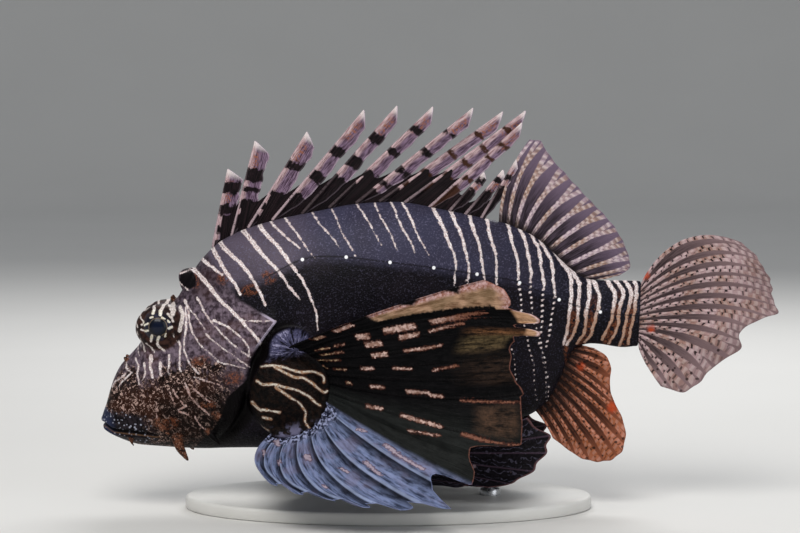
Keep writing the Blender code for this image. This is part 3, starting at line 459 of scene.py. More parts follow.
def ray_curve(rays, share):
    """Points of each ray at each share of its length, on a curve through its middle point."""
    root, middle, tip = rays[:, 0, None, :], rays[:, 1, None, :], rays[:, 2, None, :]
    bend = 2.0 * middle - (root + tip) / 2.0
    t = np.asarray(share, float)[..., None]
    return root * (1.0 - t) ** 2 + bend * 2.0 * t * (1.0 - t) + tip * t ** 2


print(len(PECTORAL_RAYS), "pectoral rays and", len(PELVIC_RAYS), "pelvic rays a side")

# %% [markdown]
# A side fin doesn't grow straight out of the trunk. Its rays fan out of a fleshy lobe that
# holds the muscles. The lobe is a thick sheet from inside the body to the fin's root, and
# Solidify gives it its thickness, more inside and less at the fin.

# %% Fleshy roots of the paired fins
BASE_NECK = 3.0


def fleshy_root(name, rays, pull, depth_y, inner, outer):
    centre_u, centre_w, share = pull
    roots = rays[:, 0]
    out = ray_curve(rays, np.full((len(rays), 1), 0.03))[:, 0] - roots
    out /= np.linalg.norm(out, axis=1)[:, None]
    neck = roots - out * BASE_NECK
    sunk = np.stack((centre_u + (roots[:, 0] - centre_u) * share, np.full(len(rays), depth_y),
                     centre_w + (roots[:, 2] - centre_w) * share), -1)
    middle = (sunk + neck) / 2.0 + np.array((0.0, -1.2, 0.0))
    grid = np.stack((sunk, middle, neck, roots), 1)
    ids = np.arange(grid.shape[0] * 4).reshape(grid.shape[0], 4)
    piece = add_mesh(name, grid.reshape(-1, 3), grid_faces(ids).tolist())
    group = piece.vertex_groups.new(name="thickness")
    weights = (1.0, (1.0 + outer / inner) / 2.0, 0.2 + 1.1 * outer / inner, outer / inner)
    for k, weight in enumerate(weights):
        group.add(ids[:, k].tolist(), weight, "REPLACE")
    finer = piece.modifiers.new("finer", "SUBSURF")
    finer.levels = finer.render_levels = 2
    thicken = piece.modifiers.new("thicken", "SOLIDIFY")
    thicken.thickness = inner * MM
    thicken.offset = 0.0
    thicken.vertex_group = group.name
    return bake_modifiers(piece)


def bake_modifiers(piece):
    """Writes what the modifiers make into the piece's own mesh."""
    mesh = real_mesh(piece)
    piece.modifiers.clear()
    piece.data = mesh
    return piece


def other_side(piece, name):
    """A mirrored copy for the fish's right side."""
    twin = place_object(name, piece.data.copy())
    twin.data.transform(Matrix.Diagonal((1.0, -1.0, 1.0, 1.0)))
    twin.data.flip_normals()
    return twin


for name, rays, pull, depth, inner, outer in (
        ("pectoral_root", PECTORAL_RAYS, (86.0, 0.0, 0.72), -20.0, 9.0, 3.0),
        ("pelvic_root", PELVIC_RAYS, (98.0, -8.0, 0.5), -8.0, 4.0, 2.2)):
    left = fleshy_root(name, rays, pull, depth, inner, outer)
    flesh += [left, other_side(left, name + "_right")]
print(len(flesh), "pieces of flesh to fuse")

# %% [markdown]
# All the flesh now becomes one skin. A Boolean would leave hard seams. The Remesh modifier
# in its voxel mode fuses whatever overlaps into one even net, and a light smoothing melts
# the joins, as real skin runs over bone and muscle.

# %% One skin over everything
VOXEL = 0.55 * MM


def fuse(pieces, name):
    with bpy.context.temp_override(active_object=pieces[0], selected_editable_objects=pieces,
                                   selected_objects=pieces):
        bpy.ops.object.join()
    skin = pieces[0]
    skin.name = name
    weld = skin.modifiers.new("weld", "WELD")
    weld.merge_threshold = 0.00001
    remesh = skin.modifiers.new("remesh", "REMESH")
    remesh.mode = "VOXEL"
    remesh.voxel_size = VOXEL
    melt = skin.modifiers.new("melt", "SMOOTH")
    melt.factor = 0.5
    melt.iterations = 5
    return bake_modifiers(skin)


skin = fuse(flesh, "skin")
print("skin has", len(skin.data.vertices), "points")

# %% [markdown]
# The joins round the fleshy fin roots and the eye rings need more melting than the rest. A
# vertex group says how much each point takes part in a second, longer smoothing.

# %% Melt the joins
def coordinates(piece):
    flat = np.empty(len(piece.data.vertices) * 3, np.float32)
    piece.data.vertices.foreach_get("co", flat)
    return flat.reshape(-1, 3).astype(float) / MM


def blob(spots, centre, radii, core=0.55):
    """1 in the middle of an egg shape, falling smoothly to 0 at its edge."""
    away = np.sqrt((((spots - np.array(centre)) / np.array(radii)) ** 2).sum(1))
    return 1.0 - smooth_step(core, 1.0, away)


def melt_joins(piece):
    points = coordinates(piece)
    points[:, 1] = np.abs(points[:, 1])
    amount = blob(points, (88.0, 28.0, 1.0), (34.0, 16.0, 34.0))
    from_centre = np.hypot((points[:, 0] - 88.0) / 23.0, (points[:, 2] - 1.0) / 20.5)
    amount *= 1.0 - smooth_step(30.5, 31.5, points[:, 1]) * smooth_step(0.88, 0.96, from_centre)
    around_eye = blob(points, ORBIT_CENTRE, (18.0, 16.0, 17.0))
    around_eye *= 1.0 - blob(points, ORBIT_CENTRE, (14.0, 13.0, 13.0))
    amount = np.maximum(amount, around_eye)
    group = piece.vertex_groups.new(name="melt")
    levels = np.round(amount * 8.0).astype(int)
    for level in range(1, 9):
        chosen = np.flatnonzero(levels == level)
        if len(chosen):
            group.add(chosen.tolist(), level / 8.0, "REPLACE")
    smooth = piece.modifiers.new("melt", "SMOOTH")
    smooth.factor = 0.6
    smooth.iterations = 70
    smooth.vertex_group = group.name
    return bake_modifiers(piece)


melt_joins(skin)
print("joins melted")

# %% [markdown]
# The hollows come next. A point over the eye moves straight in, to just under the eyeball,
# so a smooth rim is left round it. The groove of the mouth and the nostrils are pressed
# along the skin's own normals. Moving points keeps the skin in one piece, with no seam.

# %% Eye sockets, mouth and nostrils
def set_coordinates(piece, points):
    piece.data.vertices.foreach_set("co", (points * MM).astype(np.float32).ravel())
    piece.data.update()


def skin_normals(piece):
    flat = np.empty(len(piece.data.vertices) * 3, np.float32)
    piece.data.vertices.foreach_get("normal", flat)
    return flat.reshape(-1, 3).astype(float)


NOSTRILS = ((13.0, 21.5), (18.0, 25.0))


def press_hollows(piece):
    points, normals = coordinates(piece), skin_normals(piece)
    side = np.sign(points[:, 1])
    from_eye = points - (EYE_U, 0.0, EYE_W)
    from_eye[:, 1] -= side * EYE_Y
    outward = from_eye[:, 1] * side
    off_axis = np.hypot(from_eye[:, 0], from_eye[:, 2])
    reach = np.linalg.norm(from_eye, axis=1)
    under = EYE_RADIUS - 0.5
    past_rim = smooth_step(ORBIT_OPENING - 0.9, ORBIT_OPENING + 0.7, off_axis)
    share = (1.0 - past_rim) * (outward > 0.0)
    share *= reach > under
    pulled = reach + (under - reach) * share
    points += from_eye * (pulled / np.maximum(reach, 0.001) - 1.0)[:, None]
    off_mouth = np.abs(points[:, 2] - mouth_level(points[:, 0]))
    near_lips = 1.0 - smooth_step(23.0, 26.0, points[:, 0])
    depth = 1.3 * near_lips * np.exp(-(off_mouth / 0.7) ** 2)
    for u, w in NOSTRILS:
        for sign in (-1.0, 1.0):
            spot = np.array((u, sign * skin_side(u, w), w))
            away = np.linalg.norm(points - spot, axis=1)
            depth += 1.3 * np.exp(-(away / 0.75) ** 2) - 0.45 * np.exp(-((away - 1.5) / 0.5) ** 2)
    set_coordinates(piece, points - normals * depth[:, None])


press_hollows(skin)
print("eye openings", 2 * ORBIT_OPENING, "mm across")

# %% [markdown]
# A lionfish's white lines are its signature. Each is written down as two to five points
# from the back downwards, with a half width at its top and at its end. The distance from
# every point of the skin to the nearest line is stored on the skin, and the material later
# turns it into a line with a soft, uneven edge. A painted texture could do the same, but
# this needs no image and stays sharp at any distance.

# %% White lines of the body
BODY_LINES = (
    (1.2, 0.6, 0, ((63.2, 66.1), (70.5, 59.3))),
    (1.5, 0.6, 0, ((57.4, 63.8), (64.6, 53.4), (71.4, 43.1), (80.6, 29.8), (82.4, 22.4))),
    (1.5, 0.6, 0, ((67.8, 70.7), (74.8, 56.3), (77.3, 49))),
    (1.5, 0.6, 0, ((71.5, 74), (83.6, 57), (87.8, 42.4))),
    (1.5, 0.5, 0, ((84.2, 75.7), (95.6, 57.9), (104.2, 41.5))),
    (1.35, 0.4, 0, ((92.5, 76.4), (103.6, 57.7), (109.6, 40.4), (109.6, 26.4))),
    (0.75, 0.4, 0, ((97.4, 77.2), (108.6, 64.5))),
    (0.75, 0.3, 0, ((105, 76.8), (114.6, 58.8))),
    (0.6, 0.3, 1, ((117.9, 76.6), (126.8, 60.9))),
    (0.55, 0.3, 1, ((126.5, 76.7), (133.2, 55))),
    (0.6, 0.3, 1, ((139.2, 76.4), (146.1, 58.4))),
    (0.6, 0.3, 1, ((146.7, 75.8), (152.9, 54.6))),
    (0.7, 0.35, 1, ((154.1, 74.7), (160.4, 52.1))),
    (0.75, 0.35, 1, ((159.9, 72.7), (166, 49.5))),
    (1.3, 0.4, 0, ((173.3, 68), (177.8, 46.9), (175.5, 33.4))),
    (1.3, 0.4, 0, ((180.9, 65.4), (183.8, 45.6), (181.4, 32.1))),
    (1.3, 0.45, 0, ((188.8, 61.8), (190.3, 42.8), (188.7, 30.5))),
    (1.25, 0.45, 0, ((196.1, 59.7), (196.5, 40.5), (194.6, 29.2))),
    (1.15, 0.6, 1, ((205.2, 55.1), (205.9, 45.4), (206.1, 36.8), (205.1, 29), (204.1, 20.2),
        (202.9, 11.8))),
    (1.15, 0.6, 1, ((210.7, 50.7), (211.9, 43.1), (211.8, 35.6), (210.2, 26.3), (208.2, 13.9))),
    (1.15, 0.6, 1, ((216, 45.4), (217.2, 38.8), (216.8, 30.3), (215.5, 23.1), (213.1, 12.9),
        (208.7, -2.3))),
    (1.15, 0.6, 1, ((220, 41.4), (221.7, 33.6), (221.5, 27.2), (219.5, 16.9), (216.2, 6.9),
        (211.6, -4))),
    (1.4, 0.8, 0, ((226.6, 32.9), (229.3, 25.1), (228.4, 18.5), (225.7, 10.4), (223.5, 2.3),
        (219.5, -5))),
    (1.4, 0.8, 0, ((231.2, 26), (232.4, 19.4), (229.6, 9.6), (226.2, -0.4), (221.5, -5.9))),
    (1.4, 0.8, 0, ((237.5, 21.3), (235.4, 12.8), (232.5, 4.8), (230.5, -1.3), (226.5, -6.5))),
    (1.4, 0.8, 0, ((239.9, 20.8), (240.7, 13.8), (237, 3.8), (233.5, -3.2), (229.8, -6.7))),
    (1.4, 0.8, 0, ((246, 19.1), (248.3, 13), (245.7, 6.3), (243.2, 0.3), (238.4, -6.9))),
    (1.4, 0.8, 0, ((250.1, 18.2), (251.9, 12.3), (248.9, 5.6), (246.1, -2.4), (241.3, -9.6))),
    (1.3, 0.8, 0, ((254.6, 17.3), (255.9, 12.8), (253, 4.8), (249.8, -3.2), (245.5, -11.7))),
    (1.3, 0.8, 0, ((258.1, 17.5), (258.9, 13), (255.9, 4.2), (252.2, -5.8), (249.8, -11.8))),
)
HEAD_LINES = (
    (0.6, 0.45, 0, ((51.1, 49.5), (51.9, 37.2), (54.3, 29.8), (59, 24.4), (62, 20.5))),
    (0.6, 0.3, 0, ((51.1, 49.5), (58, 36.2))),
    (0.65, 0.45, 0, ((57.2, 50), (62.2, 38.2), (67.8, 29.8), (76.2, 20.3))),
    (0.75, 0.5, 0, ((63.4, 39.4), (69.8, 35), (76, 26), (76.4, 21.2))),
    (0.55, 0.4, 0, ((58.5, 33.8), (65.5, 25.6), (75.3, 15.7))),
    (0.5, 0.35, 0, ((62, 20.5), (72.9, 15.7))),
    (0.5, 0.35, 0, ((49.9, 15.2), (60.6, 9.4))),
    (0.8, 0.5, 0, ((50.8, 46.6), (49.7, 40.7), (48.2, 36.4), (46.9, 31), (47, 26.4),
        (48, 21.4), (51.1, 17))),
    (0.8, 0.5, 0, ((43.1, 37.9), (43.6, 34.8), (44.7, 32.3), (44.2, 28.1), (43.2, 22.4),
        (43.2, 19.3))),
    (0.8, 0.6, 0, ((38.8, 27.1), (37.2, 21.1), (37.5, 19.3))),
    (1.1, 0.7, 0, ((34.3, 24.4), (33.3, 21.4), (33.3, 19.3))),
    (1.2, 0.8, 0, ((29.9, 28), (29.3, 24), (29.6, 19))),
    (0.75, 0.5, 0, ((26.2, 25.1), (25.8, 21.3), (24.1, 18.5))),
    (0.75, 0.5, 0, ((22.7, 27.6), (23.5, 24.7), (22.1, 21.4), (21.9, 16.9))),
    (0.5, 0.4, 0, ((25.5, 39.9), (24.6, 36.2), (23.9, 31.7), (24, 29.4))),
    (0.5, 0.4, 0, ((27.5, 37.9), (27.4, 35.4), (27.9, 31.2))),
    (0.5, 0.4, 0, ((29.8, 35.1), (31.3, 33.5), (32.4, 31.4), (32.1, 29.9))),
    (0.55, 0.4, 0, ((17.3, 28.6), (16.8, 24.8), (19.5, 22.5))),
    (0.55, 0.35, 0, ((15.6, 22.2), (13.5, 20.9), (9.6, 19.2), (8, 17.1))),
    (0.5, 0.35, 0, ((19.5, 22.3), (16.7, 20.7), (13.1, 18.3), (10.5, 16.3))),
    (0.6, 0.4, 0, ((35.9, 9.8), (36.2, 6.6), (37.1, 4))),
    (0.6, 0.4, 0, ((38.2, 10.8), (39.4, 7), (41.1, 3.1))),
    (0.7, 0.4, 0, ((43.8, 12.8), (45.1, 7.2), (48.4, 1.6), (51.6, -3.2))),
    (0.6, 0.4, 0, ((47.7, 9.5), (50.4, 6.2), (53.2, 3.1))),
    (0.6, 0.4, 0, ((44.9, -3.6), (46.8, -7.9), (48.8, -10))),
    (0.5, 0.35, 0, ((28.3, 6.5), (27.5, 0.7), (27.8, -2.9), (28.8, -6.3))),
    (0.6, 0.4, 0, ((41, 2.8), (37.6, 1.7), (39.1, 0.4), (42.2, -1.3))),
    (0.42, 0.3, 0, ((51, 63.2), (56.8, 64.2))),
    (0.42, 0.3, 0, ((49.5, 58.6), (51.2, 56.4), (53.2, 54.8))),
    (0.5, 0.4, 0, ((77.2, 37), (84.6, 35.6), (91.2, 34.4))),
)
ROOT_LINES = (
    (0.75, 0.6, 0, ((80.6, 15.2), (86.2, 14.6), (90.9, 12.9), (97.3, 9.4), (103.6, 8.4),
        (108, 5.8), (107.9, 2.9))),
    (0.7, 0.6, 0, ((87.4, 13.6), (94.1, 7.9), (98.5, 6.3), (103, 2.1), (106.9, -1.6),
        (108.8, -1.2))),
    (0.8, 0.6, 0, ((77.8, 8.7), (80, 7), (85.8, 6), (89.1, 4.2), (93.9, 1.8), (98.6, -1.7),
        (101.5, -5.2),
                   (104.2, -7.5))),
    (0.7, 0.5, 0, ((86.2, 4.4), (90.9, -0.8), (94.4, -4.8), (96.3, -9.2), (95.8, -13.4),
        (97.2, -17.3))),
    (1, 0.8, 0, ((73.3, -0.9), (76.4, -4.8))),
    (0.9, 0.7, 0, ((77.5, -4.6), (84.9, -7))),
    (0.8, 0.6, 0, ((76.7, -8.4), (80.1, -9.5))),
    (0.7, 0.5, 0, ((71.1, -4.8), (71.2, -9.1), (74.7, -13.1), (77.2, -15))),
)
LATERAL_LINE = ((90.2, 54.4), (109.6, 59.3), (127, 56.8), (146.4, 50.5), (164.9, 44.2), (183, 37.4),
                (196.7, 32), (204.5, 28.3), (222.2, 15.8), (239.6, 6.3), (257.8, 0.2))
FAR = 30.0
LINE_WEIGHT = 0.74
PEARL_GAP = 20.4
PEARL_START = 1.2


def through_four(a, b, c, d, t):
    """A smooth way from b to c, led by the points before and after them."""
    return 0.5 * (2.0 * b + (c - a) * t + (2.0 * a - 5.0 * b + 4.0 * c - d) * t ** 2
                  + (3.0 * b - a - 3.0 * c + d) * t ** 3)


def smooth_path(points, steps=8):
    """A rounder line through the points."""
    points = np.array(points, float)
    padded = np.vstack((2.0 * points[0] - points[1], points, 2.0 * points[-1] - points[-2]))
    t = np.linspace(0.0, 1.0, steps, endpoint=False)[:, None]
    parts = [through_four(*four, t) for four in zip(padded, padded[1:], padded[2:], padded[3:])]
    return np.vstack(parts + [points[-1:]])


def near_path(spots, path):
    """Distance of each spot from the path, and how far along the path it is nearest."""
    best, along = np.full(len(spots), FAR), np.zeros(len(spots))
    run = 0.0
    for start, end in zip(path, path[1:]):
        step = end - start
        length = float(np.hypot(*step))
        share = np.clip((spots - start) @ step / length ** 2, 0.0, 1.0)
        away = np.hypot(*(spots - start - share[:, None] * step).T)
        closer = away < best
        best[closer] = away[closer]
        along[closer] = run + share[closer] * length
        run += length
    return best, along


def line_field(spots, lines, top_reach=7.0):
    """For each spot, millimetres outside the nearest white line, and how dotted that line is."""
    field, dotted = np.full(len(spots), FAR), np.zeros(len(spots))
    for index, (wide, narrow, dots, points) in enumerate(lines):
        points = np.array(points)
        lead = points[0] - points[1]
        points = np.vstack((points[0] + lead / np.hypot(*lead) * top_reach, points))
        path = smooth_path(points)
        low, high = path.min(0) - 5.0, path.max(0) + 5.0
        inside = np.all((spots > low) & (spots < high), axis=1)
        level = spots[inside, 1]
        wavy = spots[inside].copy()
        wavy[:, 0] += (0.28 * np.sin(0.37 * level + 2.3 * index)
                       + 0.1 * np.sin(1.1 * level + 1.1 * index))
        away, along = near_path(wavy, path)
        total = np.hypot(*np.diff(path, axis=0).T).sum()
        half = wide + (narrow - wide) * np.clip((along - top_reach) / total, 0.0, 1.0)
        signed = away - LINE_WEIGHT * half
        part = field[inside]
        closer = signed < part
        part[closer] = signed[closer]
        field[inside] = part
        marks = dotted[inside]
        marks[closer] = dots
        dotted[inside] = marks
    return field, dotted


# Pale strokes on the eye and its ring: half width, then points counted from the eye's middle
EYE_MARKS = (
    (0.8, ((-0.6, 10.1), (-0.5, 8), (-1.2, 6.6))), (0.9, ((4.3, 9.3), (2.6, 7.1), (2.2, 5.4))),
    (1.25, ((7, 8.2), (8, 6.2), (7.6, 4.6))),
    (1, ((11.1, 6.2), (11.8, 3.2), (10.9, -0.3), (9.3, -3.8))),
    (0.6, ((5.4, 5), (6.9, 2.6), (7.2, 1))),
    (0.6, ((-7.4, 8.1), (-7.6, 5.8), (-6.5, 3.5), (-7.6, 2.4))),
    (0.5, ((-10.2, 3.4), (-9.9, 1.5))), (0.62, ((-8.2, 0.2), (-6.6, -0.8), (-4.9, -0.7))),
    (0.5, ((-6.2, 1.9), (-4.2, 2.6))), (0.55, ((-2.6, 4.9), (-1.6, 5))),
    (0.5, ((2.6, 3.9), (3.8, 3.2))), (0.55, ((5, 1.9), (5.7, 1))),
    (0.72, ((4.7, -1.6), (6.2, -1.4))), (0.76, ((-3.5, -3.2), (-4.9, -5.9))),
    (0.74, ((-0.4, -4.4), (-1.7, -6.5), (-1.9, -9), (0.4, -11.8))),
    (0.5, ((2.9, -3.7), (2.2, -5))), (0.3, ((5.9, -4), (6.4, -7.1), (7.5, -9.6))),
    (0.36, ((-10.6, -0.5), (-10.4, -2.2))), (0.5, ((-11.1, -6.5), (-11.3, -8))),
    (0.45, ((-9.9, -4), (-9.7, -6.3), (-9.3, -10.7))),
    (0.55, ((-7.5, -6.9), (-6, -8.5), (-4.9, -10.6))), (0.45, ((-5.3, 8.3), (-3.2, 9.3))))


def stroke_field(spots, strokes):
    """Millimetres outside the nearest stroke."""
    field = np.full(len(spots), FAR)
    for half, points in strokes:
        field = np.minimum(field, near_path(spots, smooth_path(points))[0] - half)
    return field


def belly_tails(lines):
    """Faint dotted ends that carry the rear bars down to the belly."""
    tails = []
    for wide, narrow, dots, points in lines[14:21]:
        u, w = points[-1]
        floor = float(table_value(BOTTOM, min(u + 3.0, 205.0))) + 2.0
        way = ((u, w), (u + 1.0, (w + floor) / 2.0), (u - 1.0, floor))
        tails.append((narrow * 0.9, 0.2, 1, way))
    return tuple(tails)


print(len(BODY_LINES), "lines on the body and", len(HEAD_LINES), "on the head")

# %% [markdown]
# Lines, the lateral line, the head, the lips and the fin roots all become numbers on the
# skin's points. The skin also stores the fish's own millimetres, so that a noise pattern
# in the material knows where it is and how large a scale is.

# %% Numbers stored on the skin
# The upper edge of the gill cover: levels, and how far back it reaches there
COVER_LEVELS, COVER_PLACES = (34, 47, 69, 90), (92, 77, 66, 64)
# Rust patches: centre and radii
RUST_SPOTS = (
    ((71.3, 57.5), (4.5, 3.6)), ((82.3, 50.3), (5.5, 3.2)), ((91.8, 54.4), (4.5, 4)),
    ((57, 58.5), (3.2, 4.2)), ((53, 22.5), (6, 3.2)), ((32.5, -4), (5.8, 3.6)),
    ((34.2, -13), (3.4, 4.6)), ((52, 1.5), (5, 3)), ((67, 12), (6, 4)),
)
# Pairs of tail lines with bronze between them
TAIL_PAIRS = ((22, 23), (24, 25), (26, 27), (28, 29))
# Distances are stored no larger than this
FIELD_LIMIT = 6.0


def store(piece, name, values):
    values = np.asarray(values, np.float32)
    kind = "FLOAT" if values.ndim == 1 else "FLOAT_VECTOR"
    layer = piece.data.attributes.new(name, kind, "POINT")
    layer.data.foreach_set("value" if values.ndim == 1 else "vector", values.ravel())


def mark_skin(piece):
    points = coordinates(piece)
    u, y, w = points.T
    spots = points[:, [0, 2]]
    field, dotted = line_field(spots, BODY_LINES)
    for lines, reach in ((belly_tails(BODY_LINES), 0.5), (HEAD_LINES, 0.8)):
        other, marks = line_field(spots, lines, reach)
        closer = other < field
        field = np.where(closer, other, field)
        dotted = np.where(closer, marks, dotted)
    lateral, along = near_path(spots, smooth_path(LATERAL_LINE))
    path = smooth_path(LATERAL_LINE)
    above = w - np.interp(u, path[:, 0], path[:, 1])
    store(piece, "fish", points)
    store(piece, "line", np.minimum(field, FIELD_LIMIT))
    store(piece, "dotted", dotted * (1.0 - smooth_step(-1.0, 5.0, above)))
    store(piece, "lateral", np.minimum(lateral, 10.0))
    store(piece, "lateral_at", along)
    store(piece, "above", np.clip(above, -60.0, 40.0))
    upper_edge = np.interp(w, COVER_LEVELS, COVER_PLACES)
    behind = u - np.where(w > COVER_LEVELS[0], upper_edge, edge_u(w))
    store(piece, "behind_gill", np.clip(behind, -60.0, 60.0))
    store(piece, "mouth", np.where(u < 27.0, w - mouth_level(u), 20.0))
    side_spots = np.stack((u, np.abs(y), w), -1)
    proud = np.abs(y) - body_side(np.clip(u, 0.5, 257.5), np.clip(w, -36.0, 78.0))
    in_root = blob(side_spots, (91.0, 30.0, 5.0), (30.0, 16.0, 34.0), 0.7)
    in_root *= smooth_step(0.3, 1.6, proud) * smooth_step(0.0, 1.5, behind)
    store(piece, "fin_root", in_root)
    root_field = line_field(spots, ROOT_LINES, 0.5)[0]
    store(piece, "root_line", np.minimum(root_field, FIELD_LIMIT))
    off_eye = spots - (EYE_U, EYE_W)
    on_ring = (np.hypot(*off_eye.T) < 15.0) & (np.abs(y) > 3.0)
    marks = np.full(len(points), FIELD_LIMIT)
    marks[on_ring] = np.minimum(stroke_field(off_eye[on_ring], EYE_MARKS), FIELD_LIMIT)
    store(piece, "eye_mark", marks)
    tassel = np.zeros(len(points))
    for path, radius in tassel_lines:
        for share in np.linspace(0.25, 1.0, 7):
            spot = path[0] * (1.0 - share) + path[-1] * share
            away = np.linalg.norm(points - spot, axis=1)
            tassel = np.maximum(tassel, 1.0 - smooth_step(1.2 * radius, 2.2 * radius, away))
    store(piece, "tassel", tassel)
    rust = np.zeros(len(points))
    for centre, radii in RUST_SPOTS:
        rust = np.maximum(rust, blob(spots, centre, radii))
    for pair in TAIL_PAIRS:
        lines = [smooth_path(BODY_LINES[k][3]) for k in pair]
        edges = [np.interp(-w, -line[:, 1], line[:, 0]) for line in lines]
        between = smooth_step(-0.8, 0.6, u - edges[0]) * smooth_step(-0.8, 0.6, edges[1] - u)
        rust = np.maximum(rust, between * smooth_step(18.0, 4.0, w) * (u > 214.0))
    store(piece, "rust", rust)
    return len(points)


print("marked", mark_skin(skin), "points")

# %% [markdown]
# Materials are trees of small nodes. These few helpers write them the way a sum is
# written: a value goes in, a value comes out. They keep the recipes below short enough
# to read.

# %% Helpers for materials
def rgb(red, green, blue):
    """A colour given as it looks on a screen, from 0 to 255."""
    linear = [((x / 255.0 + 0.055) / 1.055) ** 2.4 if x > 10 else x / 255.0 / 12.92
              for x in (red, green, blue)]
    return (*linear, 1.0)


class Recipe:
    """A material built node by node. Each call adds nodes and hands back their output."""

    def __init__(self, name):
        self.material = bpy.data.materials.new(name)
        self.material.use_nodes = True
        self.tree = self.material.node_tree
        self.shader = self.tree.nodes["Principled BSDF"]

    def put(self, socket, value):
        if isinstance(value, bpy.types.NodeSocket):
            self.tree.links.new(value, socket)
        else:
            socket.default_value = value

    def node(self, kind, output, feeds, **settings):
        """Adds a node, feeds its inputs by name or number and hands back one output."""
        node = self.tree.nodes.new("ShaderNode" + kind)
        for key, value in settings.items():
            setattr(node, key, value)
        for key, value in feeds.items():
            self.put(node.inputs[key], value)
        return node.outputs[output]

    def stored(self, name, vector=False):
        return self.node("Attribute", "Vector" if vector else "Fac", {}, attribute_name=name)

    def all_stored(self, names):
        return [self.stored(name) for name in names.split()]

    def sum(self, operation, a, b=0.0, c=0.0):
        return self.node("Math", 0, {0: a, 1: b, 2: c}, operation=operation)

    def times(self, *values):
        return functools.reduce(lambda a, b: self.sum("MULTIPLY", a, b), values)

    def plus(self, *values):
        return functools.reduce(lambda a, b: self.sum("ADD", a, b), values)

    def most(self, *values):
        return functools.reduce(lambda a, b: self.sum("MAXIMUM", a, b), values)

    def less(self, a, b):
        return self.sum("SUBTRACT", a, b)

    def size(self, value):
        return self.sum("ABSOLUTE", value)

    def vector(self, operation, a, b=(0.0, 0.0, 0.0)):
        output = "Value" if operation in ("LENGTH", "DISTANCE") else "Vector"
        return self.node("VectorMath", output, {0: a, 1: b}, operation=operation)

    def join(self, x, y, z=0.0):
        return self.node("CombineXYZ", 0, {0: x, 1: y, 2: z})

    def split(self, vector):
        return [self.node("SeparateXYZ", axis, {0: vector}) for axis in "XYZ"]

    def step(self, value, low, high, start=0.0, end=1.0):
        """start below low, end above high, and a smooth way between."""
        feeds = {"Value": value, "From Min": low, "From Max": high, "To Min": start, "To Max": end}
        return self.node("MapRange", 0, feeds, interpolation_type="SMOOTHSTEP")

    def fade(self, value, low, high):
        """1 below low and 0 above high."""
        return self.step(value, low, high, 1.0, 0.0)

    def near(self, value, goal, low, high, strength=1.0):
        """strength where value is within low of goal, and 0 beyond high."""
        return self.step(self.size(self.less(value, goal)), low, high, strength, 0.0)

    def noise(self, vector, scale, detail=2.0, roughness=0.5, distortion=0.0):
        return self.node("TexNoise", 0, {"Vector": vector, "Scale": scale, "Detail": detail,
                                         "Roughness": roughness, "Distortion": distortion})

    def swing(self, pattern, size):
        """A pattern from 0 to 1 turned into one that sways either side of 0."""
        return self.times(self.less(pattern, 0.5), size)

    def cells(self, vector, scale):
        """Distance from the middle of the nearest cell, as round scales and dots need."""
        return self.node("TexVoronoi", "Distance", {"Vector": vector, "Scale": scale})

    def mix(self, share, a, b):
        """a where share is 0, b where it is 1. A plain tone is three numbers up to 255."""
        a, b = (rgb(*tone) if isinstance(tone, tuple) else tone for tone in (a, b))
        return self.node("Mix", "Result", {"Factor": share, "A": a, "B": b}, data_type="RGBA")

    def two_tone(self, pattern, low, high, first, second):
        return self.mix(self.step(pattern, low, high), first, second)

    def over(self, ground, *layers):
        """Lays each tone over the ground, as far as its own mask says."""
        for mask, tone in layers:
            ground = self.mix(mask, ground, tone)
        return ground

    def bump(self, height, distance, normal=None):
        """Raises the surface by height times distance, given in millimetres."""
        feeds = {"Strength": 1.0, "Distance": distance * MM, "Height": height}
        return self.node("Bump", 0, feeds if normal is None else feeds | {"Normal": normal})

    def relief(self, *layers):
        """Bumps laid over each other, each a height and what it stands for in millimetres."""
        return functools.reduce(lambda normal, layer: self.bump(*layer, normal), layers, None)

    def finish(self, colour, roughness, normal=None, **constants):
        self.put(self.shader.inputs["Base Color"], colour)
        self.put(self.shader.inputs["Roughness"], roughness)
        if normal is not None:
            self.put(self.shader.inputs["Normal"], normal)
        for key, number in constants.items():
            self.shader.inputs[key.replace("_", " ")].default_value = number
        return self.material

    def so_far(self, made):
        print(made, "done,", len(self.tree.nodes), "nodes so far")


print("material helpers ready")

# %% [markdown]
# The skin is small overlapping scales under a thin clear slime. The colour is a dark
# violet brown with mottling on the face. Above the lateral line it is painted paler, where light
# from above falls on the back. The recipe lays these over each other: ground colour,
# mottling, rust, white lines, lips, and the painted shadow of the gill slit. Cells of a
# Voronoi pattern stand for scales in the bump, and as faint pale flecks that are painted
# glints of light on the scales.

# %% What the skin knows
r = Recipe("lionfish_skin")
fish = r.stored("fish", vector=True)
u, y, w = r.split(fish)
line, dotted = r.all_stored("line dotted")
above, behind = r.all_stored("above behind_gill")
root, rust, tassel = r.all_stored("fin_root rust tassel")
head = r.fade(behind, -2.5, 0.5)
broad = r.noise(fish, 0.06, 3)
fine = r.noise(fish, 0.45, 3, 0.6)
grain = r.noise(fish, 1.6, 2, 0.6)
stretched = r.vector("MULTIPLY", fish, (0.75, 1, 1))
scale_edge = r.cells(stretched, 1.35)
r.so_far("inputs and patterns")
